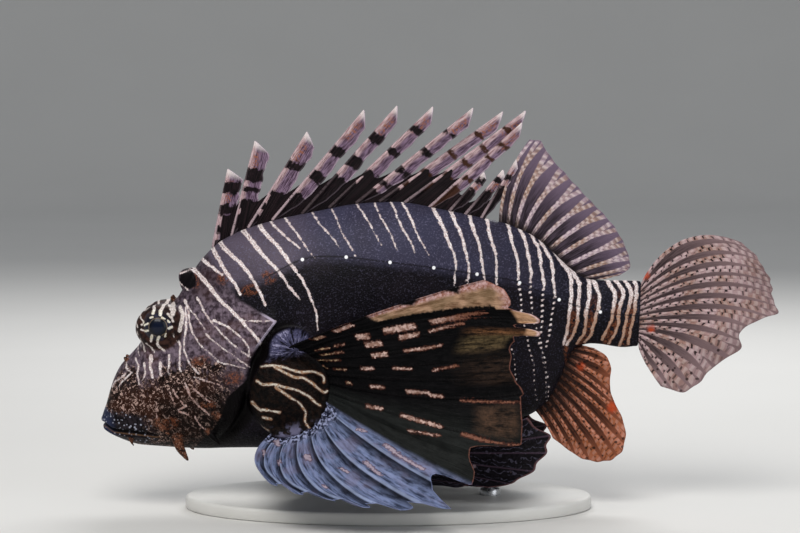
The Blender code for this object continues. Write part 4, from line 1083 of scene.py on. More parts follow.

# %% [markdown]
# The trunk is nearly black. Above the lateral line it is painted paler, as light from above
# would make the wet back. This is painted light, so it stays when the lamps move.

# %% Ground of the body
# Painted light: above the lateral line the back is painted paler, as if lit from above, and less so
# towards the tail.
lit = r.times(r.step(r.plus(above, r.times(fine, 4)), -3, 5), r.step(u, 150, 235, 1, 0.45))
back_tone = r.two_tone(u, 96, 125, (84, 75, 88), (54, 53, 72))
belly = r.step(w, -36, -12, 0.7, 0)
# Painted highlight: pale glints on the scale rims, stronger where the back is painted lit.
scale_glint = r.times(r.step(scale_edge, 0.42, 0.75), r.step(grain, 0.45, 0.65))
body = r.over(r.mix(lit, (9, 7, 12), back_tone),
    (r.step(broad, 0.35, 0.7, 0, 0.3), (36, 29, 36)),
    (r.step(u, 205, 232, 0, 0.7), (10, 9, 13)),
    (belly, (12, 9, 10)),
    (r.times(scale_glint, r.step(lit, 0, 1, 0.16, 0.5)), (112, 108, 134)))
r.so_far("body")

# %% [markdown]
# The head is violet grey, and its blotches grow stronger and browner towards the snout. Two
# noise patterns, cut at sharp levels, give them torn outlines.

# %% Ground of the head
streaks = r.noise(r.join(r.times(u, 1.1), r.times(w, 0.3)), 0.8, 3)
ragged = r.plus(r.swing(broad, 40), r.swing(streaks, 16))
snout = r.times(r.fade(r.plus(w, ragged), 16, 23), r.fade(r.plus(u, ragged), 56, 74))
specks = r.noise(fish, 0.62, 2, 0.75)
blots = r.noise(fish, 0.56, 3, 0.65, 1.2)
mottled = r.over(r.two_tone(blots, 0.43, 0.48, (6, 4, 4), (44, 28, 24)),
    (r.step(blots, 0.565, 0.595), (180, 152, 142)),
    (r.step(broad, 0.46, 0.6, 0, 0.2), (84, 46, 26)))
jaw = r.times(r.fade(w, 2, 14), r.step(u, 24, 34))
face = r.over(r.two_tone(fine, 0.35, 0.65, (46, 36, 44), (112, 98, 110)),
    (r.step(streaks, 0.5, 0.62, 0, 0.4), (40, 30, 36)),
    (r.step(broad, 0.5, 0.66, 0, 0.25), (86, 54, 38)),
    (r.step(w, 44, 58, 0, 0.55), (32, 25, 31)),
    (snout, mottled),
    (r.times(jaw, r.step(fine, 0.3, 0.6, 0.95, 0.6)), (12, 6, 5)))
colour = r.mix(head, body, face)
r.so_far("head")

# %% [markdown]
# Rust patches lie on nape, cheek and tail stem. Their places were stored on the skin, so
# here they only need a tone and a broken edge.

# %% Rust
rusty = r.two_tone(grain, 0.4, 0.6, (50, 28, 20), (120, 68, 44))
colour = r.mix(r.times(rust, r.step(fine, 0.4, 0.58, 0, 0.85)), colour, rusty)
r.so_far("rust")

# %% [markdown]
# The fleshy root of the side fin has lilac folds above and dark flesh below, with cream
# stripes. Round its edge below the shoulder, a near-black band is painted shadow. The folds
# run round the shoulder, so their noise is fed with the angle round it.

# %% Fleshy root of the side fin
fold_u, fold_w = r.less(u, 98), r.less(w, 19.5)
folds = r.noise(r.join(r.times(r.sum("ARCTAN2", fold_w, fold_u), 3.6),
    r.times(r.vector("LENGTH", r.join(fold_u, fold_w)), 0.12)), 1.3, 3, 0.65)
lilac = r.over(r.two_tone(folds, 0.4, 0.52, (12, 12, 20), (76, 75, 104)),
    (r.step(folds, 0.56, 0.66), (148, 145, 176)))
# Painted shadow: outside this oval, below the shoulder, the root is painted near black.
off_pad = r.vector("LENGTH", r.join(r.times(r.less(u, 90), 0.95), r.times(w, 0.85)))
root_line = r.plus(r.stored("root_line"), r.swing(fine, 1.8))
flesh_tone = r.over(r.two_tone(fine, 0.4, 0.65, (6, 4, 4), (25, 15, 11)),
    (r.step(r.plus(w, r.times(fine, 6)), 19, 23), lilac),
    (r.times(r.fade(w, -17, -12), r.step(folds, 0.5, 0.6)), (96, 94, 118)),
    (r.times(r.step(off_pad, 15.5, 18.5), r.fade(w, 14, 20)), (5, 3, 4)),
    (r.step(root_line, 0.2, 0.7, 0.6, 0), (72, 40, 26)),
    (r.fade(root_line, -0.3, 0.25), r.two_tone(fine, 0.38, 0.56, (146, 112, 86),
        (214, 204, 190))))
colour = r.mix(root, colour, flesh_tone)
r.so_far("fin root")

# %% [markdown]
# Over each eye stands a low black crest. Its distance is measured in a frame squashed a
# little, so the dark patch is as narrow and tall as the crest.

# %% Crest over the eye
off_crest = r.vector("DISTANCE", r.vector("MULTIPLY", r.join(u, w), (1.2, 1, 0)),
    (CREST[0] * 1.2, CREST[2] + 0.6, 0))
colour = r.mix(r.fade(r.plus(off_crest, r.times(fine, 1.6)), 5, 6), colour, (12, 9, 12))
r.so_far("crest")

# %% [markdown]
# Now the white lines. Noise is added to the stored distance before it is cut, so the edges
# wander as the real ones do. A sine wave breaks the rear lines into dots.

# %% White lines
dots = r.times(r.step(r.sum("SINE", r.times(w, 2.6)), -0.1, 0.5, 0.9, 0), dotted)
edge = r.plus(line, dots, r.swing(grain, 1.3), r.swing(fine, 1.7))
white = r.times(r.fade(edge, -0.24, 0.14), r.less(1, root))
ruddy = r.times(head, r.fade(w, 10, 17), 0.6)
braid = r.times(r.fade(line, -1, -0.55), r.step(specks, 0.44, 0.54))
golden = r.times(r.step(u, 218, 226), r.step(r.plus(w, r.times(fine, 8)), 6, 16, 0.75, 0))
pale = r.over(r.two_tone(grain, 0.42, 0.62, (188, 168, 166), (240, 234, 234)),
    (ruddy, (150, 100, 82)),
    (r.times(braid, r.step(u, 105, 125, 0.8, 0.15)), (84, 62, 58)),
    (golden, (150, 100, 58)))
colour = r.mix(white, colour, pale)
r.so_far("white lines")

# %% [markdown]
# Ring of the eye, lips and tassels carry smaller marks. Each is one more layer with its
# own mask, laid over what is there.

# %% Eye ring, lips and tassels
off_eye = r.vector("SUBTRACT", r.join(u, w), (EYE_U, EYE_W, 0))
ring_at = r.plus(r.vector("LENGTH", off_eye), fine)
near_eye = r.times(r.fade(ring_at, 11.2, 12.8), r.step(r.size(y), 5, 8))
ring = r.two_tone(fine, 0.35, 0.65, (24, 15, 15), (58, 38, 33))
stroke = r.fade(r.plus(r.stored("eye_mark"), r.swing(fine, 1.6)), -0.35, 0.05)
colour = r.over(colour,
    (near_eye, ring),
    (stroke, r.two_tone(grain, 0.35, 0.55, (150, 136, 128), (216, 206, 202))))
mouth = r.stored("mouth")
off_mouth = r.size(mouth)
lips = r.times(r.fade(r.plus(r.most(mouth, r.times(mouth, -1.5)), r.times(fine, 5)), 10, 13),
    r.fade(u, 18, 27))
lip_tone = r.over(r.two_tone(u, 3, 8, (40, 46, 70),
    r.two_tone(fine, 0.4, 0.6, (11, 8, 11), (38, 32, 37))),
    (r.step(r.cells(fish, 0.55), 0.2, 0.32, 0.9, 0), (152, 154, 168)))
tan = r.step(r.size(r.plus(mouth, 1.3)), 0.15, 0.5, 0.6, 0)
tassel_tone = r.over(r.two_tone(specks, 0.42, 0.56, (26, 15, 13), (92, 56, 40)),
    (r.step(grain, 0.58, 0.66, 0, 0.7), (160, 128, 112)))
colour = r.over(colour,
    (lips, lip_tone),
    (r.step(off_mouth, 0.35, 0.75, 0.85, 0), (8, 5, 6)),
    (tan, (112, 82, 58)),
    (tassel, tassel_tone))
r.so_far("small marks")

# %% [markdown]
# The lateral line is a dark seam with white pearls, which a zigzag of the distance along it
# spaces evenly. Behind the gill cover, the shadow in its slit is painted near black, reaching
# forward under the cheek.

# %% Lateral line and the gill slit's painted shadow
lateral, lateral_at = r.all_stored("lateral lateral_at")
seam = r.step(r.plus(lateral, r.times(grain, 0.5)), 0.35, 0.8, 0.8, 0)
from_pearl = r.vector("LENGTH", r.join(lateral,
    r.sum("PINGPONG", r.plus(lateral_at, PEARL_START), PEARL_GAP / 2)))
pearl = r.fade(from_pearl, 0.6, 0.95)
# Painted shadow: the slit behind the gill cover and the skin under the cheek are painted near
# black.
shaded = r.plus(behind, r.step(w, 2, 12, 9, 0), r.times(fine, 1.5))
slit = r.times(r.step(shaded, 0.2, 1.6), r.fade(behind, 7, 12), r.fade(w, 31, 36),
    r.step(w, -30, -16))
edge_pale = r.times(r.fade(r.size(r.plus(behind, 1)), 0.5, 1.1), r.step(w, 22, 27),
    r.fade(w, 36, 40))
colour = r.over(colour,
    (seam, (14, 11, 15)),
    (pearl, (244, 244, 246)),
    (r.times(slit, r.less(1, r.times(root, 0.9))), (4, 2, 3)),
    (r.times(edge_pale, 0.75), (188, 176, 196)))
r.so_far("lateral line and slit")

# %% [markdown]
# Scales, folds and warts are too small for the mesh, so bump nodes tilt the light for them.
# Their heights are real ones, in millimetres.

# %% Relief of the skin
normal = r.relief((scale_edge, 0.07), (grain, 0.04),
    (r.times(r.step(w, 14, 20), folds, root), 2.2),
    (r.times(blots, r.plus(snout, root)), 0.8), (white, 0.1))
gloss = r.step(grain, 0.3, 0.7, 0.36, 0.54)
skin_paint = r.finish(colour, gloss, normal, Specular_IOR_Level=0.065)

skin.data.materials.clear()
skin.data.materials.append(skin_paint)
skin.data.shade_smooth()
skin.data.transform(FISH)
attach(skin, "root")
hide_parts("head", "trunk", "tail_stem")
print("skin painted with", len(skin.data.materials[0].node_tree.nodes), "nodes")

# %% [markdown]
# Every fin is a thin web stretched over rods. One function draws them all. It crowds its
# columns near each ray, so the round ridge of the ray is modelled, and it lays a front
# and a back face over the same middle sheet. Where a web ends between two rays, its edge
# is drawn in as a scallop or rounded off as a petal.

# %% A fin from its rays
COLUMNS_PER_RAY = 18
FIN_ROWS = 104
RIM = 0.16
MEMBRANE = 0.45
TIP_SHARE = 0.4
NO_PETALS = (99, 99)


def fin_columns(count):
    """Places across the fin, counted in rays, crowded where the rays are."""
    inside = 0.5 * (1.0 - np.cos(np.pi * np.arange(COLUMNS_PER_RAY) / COLUMNS_PER_RAY))
    return np.append((np.arange(count - 1)[:, None] + inside).ravel(), count - 1.0)


def between_rays(rays, columns, share):
    """Points of the sheet between the rays, on a smooth curve from ray to ray."""
    padded = np.concatenate((2.0 * rays[:1] - rays[1:2], rays, 2.0 * rays[-1:] - rays[-2:-1]))
    index = np.minimum(columns.astype(int), len(rays) - 2)
    t = (columns - index)[:, None, None]
    return through_four(*(ray_curve(padded[index + k], share) for k in range(4)), t)


def two_faced(middle, lift):
    """Points and faces of a closed sheet: a front and a back over the middle, and a rim."""
    rows, columns = middle.shape[:2]
    size = rows * columns
    ids = np.arange(size).reshape(rows, columns)
    front = grid_faces(ids)
    loop = np.concatenate((ids[0, :-1], ids[:-1, -1], ids[-1, :0:-1], ids[:0:-1, 0]))
    wall = np.stack((np.roll(loop, -1), loop, loop + size, np.roll(loop, -1) + size), -1)
    points = np.concatenate(((middle + lift).reshape(-1, 3), (middle - lift).reshape(-1, 3)))
    return points, np.concatenate((front, front[:, ::-1] + size, wall))


def fin_fan(rays, notches, ray_width, petals=NO_PETALS, sink=2.5, billow=0.05, wave=0.0,
            split_from=0.55, split=0.0, shingle=0.0, roots=None, edge=None):
    """Points, faces and measurements of one fin, in millimetres."""
    columns = fin_columns(len(rays))
    index = np.minimum(columns.astype(int), len(rays) - 2)
    across = columns - index
    is_petal = (index >= petals[0]) & (index < petals[1])
    scallop = np.sin(np.pi * across) ** 2
    petal = 1.0 - np.sqrt(np.maximum(0.0, 1.0 - (2.0 * np.minimum(across, 1.0 - across)) ** 2))
    reach = 1.0 - notches[index] * np.where(is_petal, petal, scallop)
    if edge is not None:
        reach = np.where(columns < edge[-1][0], np.interp(columns, *np.array(edge).T), reach)
    trace = ray_curve(rays, np.tile(np.linspace(0, 1, 30), (len(rays), 1)))
    lengths = np.linalg.norm(np.diff(trace, axis=1), axis=2).sum(1)
    length = np.interp(columns, np.arange(len(rays)), lengths)
    share = np.linspace(-sink / length, reach, FIN_ROWS, axis=1)
    middle = between_rays(rays, columns, share)
    if roots is not None:
        shift = roots(columns) - between_rays(rays, columns, np.zeros((len(columns), 1)))
        middle = middle + shift * (1.0 - np.clip(share, 0.0, 1.0))[..., None] ** 2
    near = between_rays(rays, index.astype(float), share)
    far = between_rays(rays, index + 1.0, share)
    spacing = np.linalg.norm(far - near, axis=2)
    from_ray = np.minimum(across, 1.0 - across)[:, None] * spacing
    along = share * length[:, None]
    rim = (reach[:, None] - share) * length[:, None]
    forward = np.gradient(middle, axis=1)
    sideways = np.gradient(middle, axis=0)
    out = np.cross(sideways, forward)
    out /= np.maximum(np.linalg.norm(out, axis=2), 1e-9)[..., None]
    spread = split * spacing * smooth_step(split_from, 1.1, share)
    from_branch = np.abs(from_ray - spread)
    radius = 0.5 * (ray_width + (ray_width * TIP_SHARE - ray_width) * np.clip(share, 0.0, 1.0))
    radius = radius * (1.0 - 0.25 * (spread > 0.3))
    skin_half = 0.5 * MEMBRANE * (1.0 - 0.5 * np.clip(share, 0.0, 1.0))
    ridge = np.sqrt(np.maximum(radius ** 2 - from_branch ** 2, 0.0))
    half = np.maximum(skin_half, ridge) * (0.35 + 0.65 * smooth_step(-0.2, 1.6, rim))
    half = np.maximum(half, RIM)
    fullness = np.sin(np.pi * across)[:, None] ** 1.2 * smooth_step(0.02, 0.3, share)
    lift = billow * spacing * fullness
    ripple = np.sin(2.0 * np.pi * (0.19 * columns[:, None] + 0.9 * share))
    lift = lift + wave * ripple * smooth_step(0.3, 1.0, share)
    step = np.where(across < 0.5, 2.0 * across, 2.0 * across - 2.0) * (1.0 + 0.4 * share.mean())
    lift = lift + shingle * np.where(is_petal, step, 0.0)[:, None] * smooth_step(0.08, 0.35, share)
    middle = middle + out * lift[..., None]
    # A round edge along the first and the last ray
    edges = []
    for end, inner in ((0, 1), (-1, -2)):
        away = middle[end] - middle[inner]
        away /= np.maximum(np.linalg.norm(away, axis=1), 1e-9)[:, None]
        turns = np.radians((88.0, 60.0, 30.0)) if end == 0 else np.radians((30.0, 60.0, 88.0))
        edges.append([(middle[end] + away * (radius[end] * math.sin(a))[:, None],
                       half[end] * math.cos(a)) for a in turns])
    middle = np.concatenate(([m for m, h in edges[0]], middle, [m for m, h in edges[1]]))
    half = np.concatenate(([h for m, h in edges[0]], half, [h for m, h in edges[1]]))

    def extend(values):
        return np.concatenate(([values[0]] * 3, values, [values[-1]] * 3))

    points, faces = two_faced(middle, extend(out) * half[..., None])
    marks = {"along": along, "reach": share, "column": np.repeat(columns[:, None], FIN_ROWS, 1),
             "from_ray": from_branch, "rim": rim, "spacing": spacing}
    marks = {name: np.tile(extend(values).ravel(), 2) for name, values in marks.items()}
    return points, faces, marks | {"fish": points}


def fin_object(name, fin):
    points, faces, marks = fin
    piece = add_mesh(name, points, faces.tolist())
    for mark, values in marks.items():
        store(piece, mark, values)
    piece.data.shade_smooth()
    return piece


def settle(piece, node, material):
    """Places a finished piece on the fish and hides the solid it stands for."""
    bm = bmesh.new()
    bm.from_mesh(piece.data)
    bmesh.ops.recalc_face_normals(bm, faces=bm.faces)
    bm.to_mesh(piece.data)
    bm.free()
    piece.data.transform(FISH)
    piece.data.materials.clear()
    piece.data.materials.append(material)
    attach(piece, "root")
    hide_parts(node)


def pair_of_fins(kind, fin, material):
    """The left fin as drawn, and a mirrored copy on the right."""
    left = fin_object(kind + "_left", fin)
    right = other_side(left, kind + "_right")
    settle(left, f"{kind}_fin_left", material)
    settle(right, f"{kind}_fin_right", material)
    return left


print("a fin has", FIN_ROWS, "rows")

# %% [markdown]
# The pectoral fins are the largest. Their skin is nearly black, with cream dashes along
# the rays, a peach band at the top, and slate-blue petals below that lie over each other
# like shingles. Each dash is a short stroke from one place to another, counted in rays
# across and in shares of the ray's length along.

# %% Dashes of the pectoral fins
DASHES = (
    (0.28, 0.1, 0.3, 0.14, 1.1), (0.26, 0.2, 0.2, 0.28, 1.2), (1.42, 0.24, 1.52, 0.29, 1.5),
    (1.36, 0.36, 1.28, 0.49, 1.5), (1.1, 0.56, 0.88, 0.72, 1.2), (0.88, 0.72, 0.8, 0.81, 1),
    (1.8, 0.13, 1.8, 0.17, 0.4), (2.22, 0.26, 2.22, 0.33, 1.2), (2.00, 0.42, 1.86, 0.5, 1),
    (1.72, 0.55, 1.28, 0.69, 0.6), (3.06, 0.27, 3.02, 0.34, 1.1), (2.92, 0.43, 2.9, 0.54, 0.7),
    (2.88, 0.55, 2.76, 0.61, 0.6), (2.46, 0.04, 2.48, 0.14, 0.4), (1.66, 0.04, 1.82, 0.1, 0.35),
    (3.1, 0.00, 3.28, 0.1, 0.4), (3.98, 0.00, 4.24, 0.01, 0.4), (4.38, 0.05, 4.34, 0.11, 0.35),
    (4.24, 0.2, 4.18, 0.26, 0.7), (4.18, 0.37, 4.26, 0.46, 0.5), (4.4, 0.58, 4.2, 0.71, 0.45),
    (5.66, 0.1, 5.64, 0.12, 0.5), (5.64, 0.23, 5.6, 0.3, 0.7), (5.72, 0.42, 5.74, 0.53, 0.7),
    (5.88, 0.54, 5.92, 0.6, 0.6), (6.08, 0.69, 6.2, 0.98, 0.45), (7.08, 0.21, 6.94, 0.29, 0.7),
    (6.98, 0.39, 7.00, 0.6, 0.8), (7.42, 0.47, 7.26, 0.62, 0.6), (7.06, 0.71, 7.08, 0.85, 1),
    (7.08, 0.85, 7.02, 1.01, 0.45), (8.28, 0.24, 8.14, 0.28, 0.6), (8.18, 0.42, 8.24, 0.53, 0.9),
    (8.24, 0.53, 8.24, 0.71, 0.7), (9.1, 0.45, 9.2, 0.6, 1.2), (10.94, 0.26, 10.92, 0.32, 1.4),
    (9.9, 0.47, 9.84, 0.52, 0.9), (13.18, 0.03, 12.82, 0.1, 1.2), (11.02, 0.64, 11.06, 0.67, 0.9),
    (13.64, 0.23, 13.48, 0.29, 0.7), (12.54, 0.31, 12.42, 0.37, 0.7),
)


def dash_field(marks):
    """Millimetres outside the nearest dash, measured on the spread fin."""
    column, reach = marks["column"], marks["reach"]
    spacing = np.maximum(marks["spacing"], 0.5)
    length = marks["along"] / np.where(np.abs(reach) < 0.001, 0.001, reach)
    length = np.where(np.abs(reach) < 0.001, 90.0, length)
    field = np.full(len(column), FAR)
    for c0, t0, c1, t1, half in DASHES:
        a = np.stack(((column - c0) * spacing, (reach - t0) * length), -1)
        b = np.stack(((c1 - c0) * spacing, (t1 - t0) * length), -1)
        share = np.clip((a * b).sum(1) / np.maximum((b * b).sum(1), 0.01), 0.0, 1.0)
        away = a - share[:, None] * b
        corner = np.stack((np.abs(away[:, 0]) - half + 0.5, np.abs(away[:, 1])), -1)
        outside = np.hypot(*np.maximum(corner, 0.0).T)
        field = np.minimum(field, outside + np.minimum(corner.max(1), 0.0) - 0.5)
    return field


print(len(DASHES), "dashes on each pectoral fin")

# %% [markdown]
# The web and the petals start from two grounds. Their streaks are noise stretched along the
# rays, because the real skin is wrinkled that way. The first pattern is fed with the column
# and the millimetres along the ray, and so follows every bend of the fin.

# %% Web and petals
r = Recipe("pectoral_web")
column, reach, along = r.all_stored("column reach along")
from_ray, rim, dash = r.all_stored("from_ray rim dash")
fish = r.stored("fish", vector=True)
streaky = r.noise(r.join(r.times(column, 9), r.times(along, 0.16)), 0.7, 4, 0.6)
fine = r.noise(fish, 0.7, 3, 0.6)
broad = r.noise(fish, 0.09, 2)
petals = r.step(column, 7.9, 8.15)
web = r.over(r.two_tone(streaky, 0.35, 0.75, (2, 2, 3), (12, 10, 12)),
    (r.times(r.step(column, 6.1, 7.2), r.step(streaky, 0.3, 0.7, 0.5, 1)), (29, 31, 30)))
slate = r.over(r.two_tone(streaky, 0.32, 0.64, (34, 40, 58), (118, 130, 166)),
    (r.step(streaky, 0.6, 0.75, 0, 0.5), (150, 158, 190)),
    (r.step(broad, 0.5, 0.65, 0, 0.4), (116, 106, 128)))
colour = r.mix(petals, web, slate)
r.so_far("web and petals")

# %% [markdown]
# Each petal is painted darkest along the groove beside the next one, as shade in the crease,
# and its lip there carries a painted highlight. The fraction of the column number says how
# far across its petal a point is.

# %% Grooves between the petals, in painted shade and highlight
off_groove = r.less(r.sum("FRACT", column), 0.5)
# Painted shade in the groove where one petal lies over the next.
groove_shade = r.times(r.fade(off_groove, -0.03, 0.4), r.step(off_groove, -0.06, -0.03))
# Painted highlight on the petal's lip beside the groove.
petal_lip_highlight = r.times(r.step(off_groove, -0.16, -0.07), r.fade(off_groove, -0.06, -0.03))
colour = r.over(colour,
    (r.times(groove_shade, petals, 0.85), (7, 8, 15)),
    (r.times(petal_lip_highlight, petals, 0.5), (160, 172, 204)))
r.so_far("grooves")

# %% [markdown]
# A peach band runs along the first ray and is bitten through at two places. It is cut out
# by the column, which noise moves a little up and down.

# %% Peach band
lower = r.plus(column, r.times(r.less(reach, 0.37), -0.16), r.swing(fine, 0.22))
band = r.times(r.fade(lower, 0.48, 0.58), r.step(r.plus(reach, r.swing(fine, 0.03)), 0.36, 0.39))
beyond = r.times(r.step(column, 0.3, 0.9, 0, 0.9), r.step(reach, 0.84, 0.9))
band = r.most(band, r.times(r.step(beyond, 0.1, 0.2), r.fade(column, 0.69, 0.73)))
for place, wide in ((0.565, 0.04), (0.768, 0.032)):
    notch = r.plus(r.times(r.size(r.less(reach, place)), 0.16 / wide), column)
    band = r.times(band, r.step(r.plus(notch, r.times(fine, 0.1)), 0.16, 0.3))
warm_rim = r.most(r.fade(column, 0.08, 0.24), r.step(rim, 1, 6, 0.9, 0))
peach = r.over(r.two_tone(streaky, 0.35, 0.62, (104, 76, 56), (172, 138, 112)),
    (r.step(broad, 0.45, 0.6, 0, 0.55), (100, 82, 58)),
    (r.times(warm_rim, 0.85), r.two_tone(fine, 0.35, 0.65, (136, 84, 72), (198, 162, 162))))
colour = r.mix(band, colour, peach)
r.so_far("peach band")

# %% [markdown]
# Two pale finger tips end the upper rays, and smoky patches lie along the far edge. Each is
# a window of columns times a window of the share along the ray.

# %% Finger tips and smoke
finger_a = r.times(r.near(column, 0.96, 0.2, 0.24), r.step(reach, 0.905, 0.925))
finger_b = r.times(r.near(column, 1.75, 0.28, 0.32), r.step(reach, 0.93, 0.95))
tips = r.most(finger_a, finger_b)
tip_tone = r.two_tone(rim, 0.7, 2.2, (214, 184, 182),
    r.two_tone(streaky, 0.3, 0.6, (140, 104, 76), (190, 150, 118)))
smoke_a = r.times(r.near(column, 2.6, 0.6, 1.2), r.step(reach, 0.66, 0.78),
    r.fade(reach, 0.93, 0.98))
smoke_b = r.times(r.near(column, 6.6, 0.15, 0.5), r.step(reach, 0.72, 0.82),
    r.fade(reach, 0.93, 0.99))
smoke_c = r.times(r.near(column, 4.6, 0.4, 1), r.step(reach, 0.62, 0.9, 0, 0.35))
smoke = r.times(r.most(smoke_a, smoke_b, smoke_c), r.step(streaky, 0.3, 0.6))
smoke_tone = r.over(r.two_tone(column, 3, 4.2, (100, 84, 58), (84, 62, 48)),
    (r.step(column, 1.7, 2.3, 0.7, 0), (150, 96, 62)))
colour = r.over(colour,
    (tips, tip_tone),
    (r.times(smoke, r.step(fine, 0.35, 0.6, 0.4, 0.8)), smoke_tone))
r.so_far("tips and smoke")

# %% [markdown]
# Rays show as fine pale cores on the petals and as black cords on the web. A wrinkled dark
# cuff lies round the petals' roots, with painted highlights on its crests. The dashes come
# last: noise tears their outline, and a wider cut of the same distance gives each a ruddy edge.

# %% Cords, cuff and dashes
core = r.fade(from_ray, 0.35, 0.9)
colour = r.mix(r.times(core, 0.4), colour, r.mix(petals, (7, 5, 6), (132, 138, 172)))
# The cuff is dark skin; its pale tone on the wrinkle crests is painted highlight.
cuff = r.times(petals, r.fade(reach, 0.04, 0.12))
colour = r.mix(cuff, colour, r.two_tone(fine, 0.45, 0.6, (22, 24, 40), (156, 162, 196)))
blotch = r.noise(fish, 0.95, 3, 0.6)
uneven = r.plus(dash, r.swing(blotch, 2.6))
ruddy = r.mix(petals, (66, 35, 27), (92, 72, 84))
cream = r.over(r.two_tone(reach, 0.04, 0.2, (176, 150, 116), (196, 166, 156)),
    (r.step(reach, 0.5, 0.72), (120, 80, 66)),
    (r.step(r.noise(fish, 0.4, 3, 0.6), 0.42, 0.58, 0.75, 0), (110, 72, 54)),
    (petals, (160, 146, 158)))
colour = r.over(colour,
    (r.step(uneven, 0.15, 0.6, 0.85, 0), ruddy),
    (r.fade(uneven, -0.35, 0.1), cream))
r.so_far("cords, cuff and dashes")

# %% [markdown]
# The thin rim is pink on the web and pale blue on the petals. In the relief, ribs run along
# the fin, and a sine wave along each ray gives the short segments a real ray is made of.

# %% Rims and relief
edge = r.fade(r.plus(rim, r.times(fine, 1.2)), 0.7, 1.4)
edge_tone = r.mix(petals, (132, 86, 74), (128, 138, 176))
colour = r.mix(r.times(edge, r.step(column, 1.5, 2.5, 0.85, 0.6)), colour, edge_tone)
ribs = r.noise(r.join(r.times(column, 40), r.times(along, 0.12)), 1, 2)
segments = r.times(r.sum("SINE", r.times(along, 3.6)), core)
wrinkles = r.times(fine, r.step(reach, 0.1, 0.3, 1, 0.25))
normal = r.relief((ribs, 0.35), (segments, 0.07), (wrinkles, 0.6))
pectoral_skin = r.finish(colour, r.step(fine, 0.3, 0.7, 0.4, 0.6), normal,
    Specular_IOR_Level=0.05)
r.so_far("pectoral skin")

# %% [markdown]
# With its finish ready, the fin is one call. The right fin is the left one mirrored, because
# a fish's sides match.

# %% Both pectoral fins
pectoral = fin_fan(PECTORAL_RAYS, PECTORAL_NOTCHES, 1.8, petals=(7, 14), sink=3.2, billow=0.07,
                   shingle=1.2, wave=1.3, edge=PECTORAL_EDGE)
pectoral[2]["dash"] = dash_field(pectoral[2])
left = pair_of_fins("pectoral", pectoral, pectoral_skin)
print("pectoral fin has", len(left.data.vertices), "points and", len(DASHES), "dashes")

# %% [markdown]
# The pelvic fins hang under the belly, dark purple with fine wavy ray lines. They use the
# same function with thinner rays.

# %% Pelvic fins
r = Recipe("pelvic_web")
column, reach, along = r.all_stored("column reach along")
from_ray, rim = r.all_stored("from_ray rim")
fish = r.stored("fish", vector=True)
fine = r.noise(fish, 0.8, 3, 0.6)
wavy = r.plus(r.times(column, 15), r.times(r.noise(fish, 0.16, 3), 22))
thread = r.times(r.step(r.sum("SINE", wavy), 0.82, 0.98), r.step(fine, 0.35, 0.55))
spots = r.cells(fish, 0.12)
core = r.fade(from_ray, 0.25, 0.7)
colour = r.over(r.two_tone(fine, 0.3, 0.7, (9, 6, 9), (26, 22, 28)),
    (r.times(thread, r.step(reach, 0.1, 0.5, 0.15, 0.55)), (96, 92, 110)),
    (r.step(spots, 0.06, 0.14, 0.5, 0), (176, 150, 158)),
    (r.step(rim, 0.4, 1.2, 0.6, 0), (120, 84, 84)),
    (r.times(core, 0.4), (96, 76, 92)))
normal = r.relief((thread, 0.12), (fine, 0.3))
pelvic_skin = r.finish(colour, 0.5, normal, Specular_IOR_Level=0.08)

pelvic = fin_fan(PELVIC_RAYS, PELVIC_NOTCHES, 1.3, sink=3.0, billow=0.06, wave=0.7)
left = pair_of_fins("pelvic", pelvic, pelvic_skin)
print("pelvic fin has", len(left.data.vertices), "points")

# %% [markdown]
# The soft dorsal, anal and tail fins stand in the fish's middle plane. Their rays split
# towards the edge and are made of short beads, white or pink, with black ticks between.
# The webs between them are dusky. Each fin grows on a line of the body: the back, the
# belly, or the rear edge of the tail stem.

# %% Lines the middle fins grow on
def median_line(column, u, gap):
    step = 0.5
    w = table_value(column, u)
    rise = table_value(column, u + step) - table_value(column, u - step)
    away = np.stack((-rise, np.zeros_like(rise), np.full_like(rise, 2.0 * step)), -1)
    away = away / np.linalg.norm(away, axis=-1)[..., None] * (1.0 if column == TOP else -1.0)
    return np.stack((u + lean_shift(u, w), np.zeros_like(w), w), -1) + away * gap


GROWTH_GAP = 0.3


def back_line(u):
    return median_line(TOP, np.asarray(u, float), GROWTH_GAP)


def belly_line(u):
    return median_line(BOTTOM, np.asarray(u, float), GROWTH_GAP)


def tail_line(w):
    w = np.asarray(w, float)
    return np.stack((TAIL_END + TAIL_LEAN * (w - LEAN_LEVEL) + GROWTH_GAP, np.zeros_like(w), w), -1)


def median_rays(roots, tips, line, bow=(0.03, 0.03)):
    root = line(roots)
    tip = np.array([(u, 0.0, w) for u, w in tips])
    out = tip - root
    across = np.stack((-out[:, 2], np.zeros(len(out)), out[:, 0]), -1)
    bows = np.linspace(*bow, len(out))[:, None]
    return np.stack((root, (root + tip) / 2.0 + across * bows, tip), 1)


def root_finder(roots, line):
    return lambda columns: line(np.interp(columns, np.arange(len(roots)), roots))[:, None, :]


print("back stands at", [round(float(x), 1) for x in back_line(202.2)])

# %% [markdown]
# One recipe serves all three fins, because they differ only in tones and in the beat of
# their beads and ticks. A sine of the millimetres along the ray gives that beat, and the
# number of the ray shifts it, so that neighbours don't march in step.

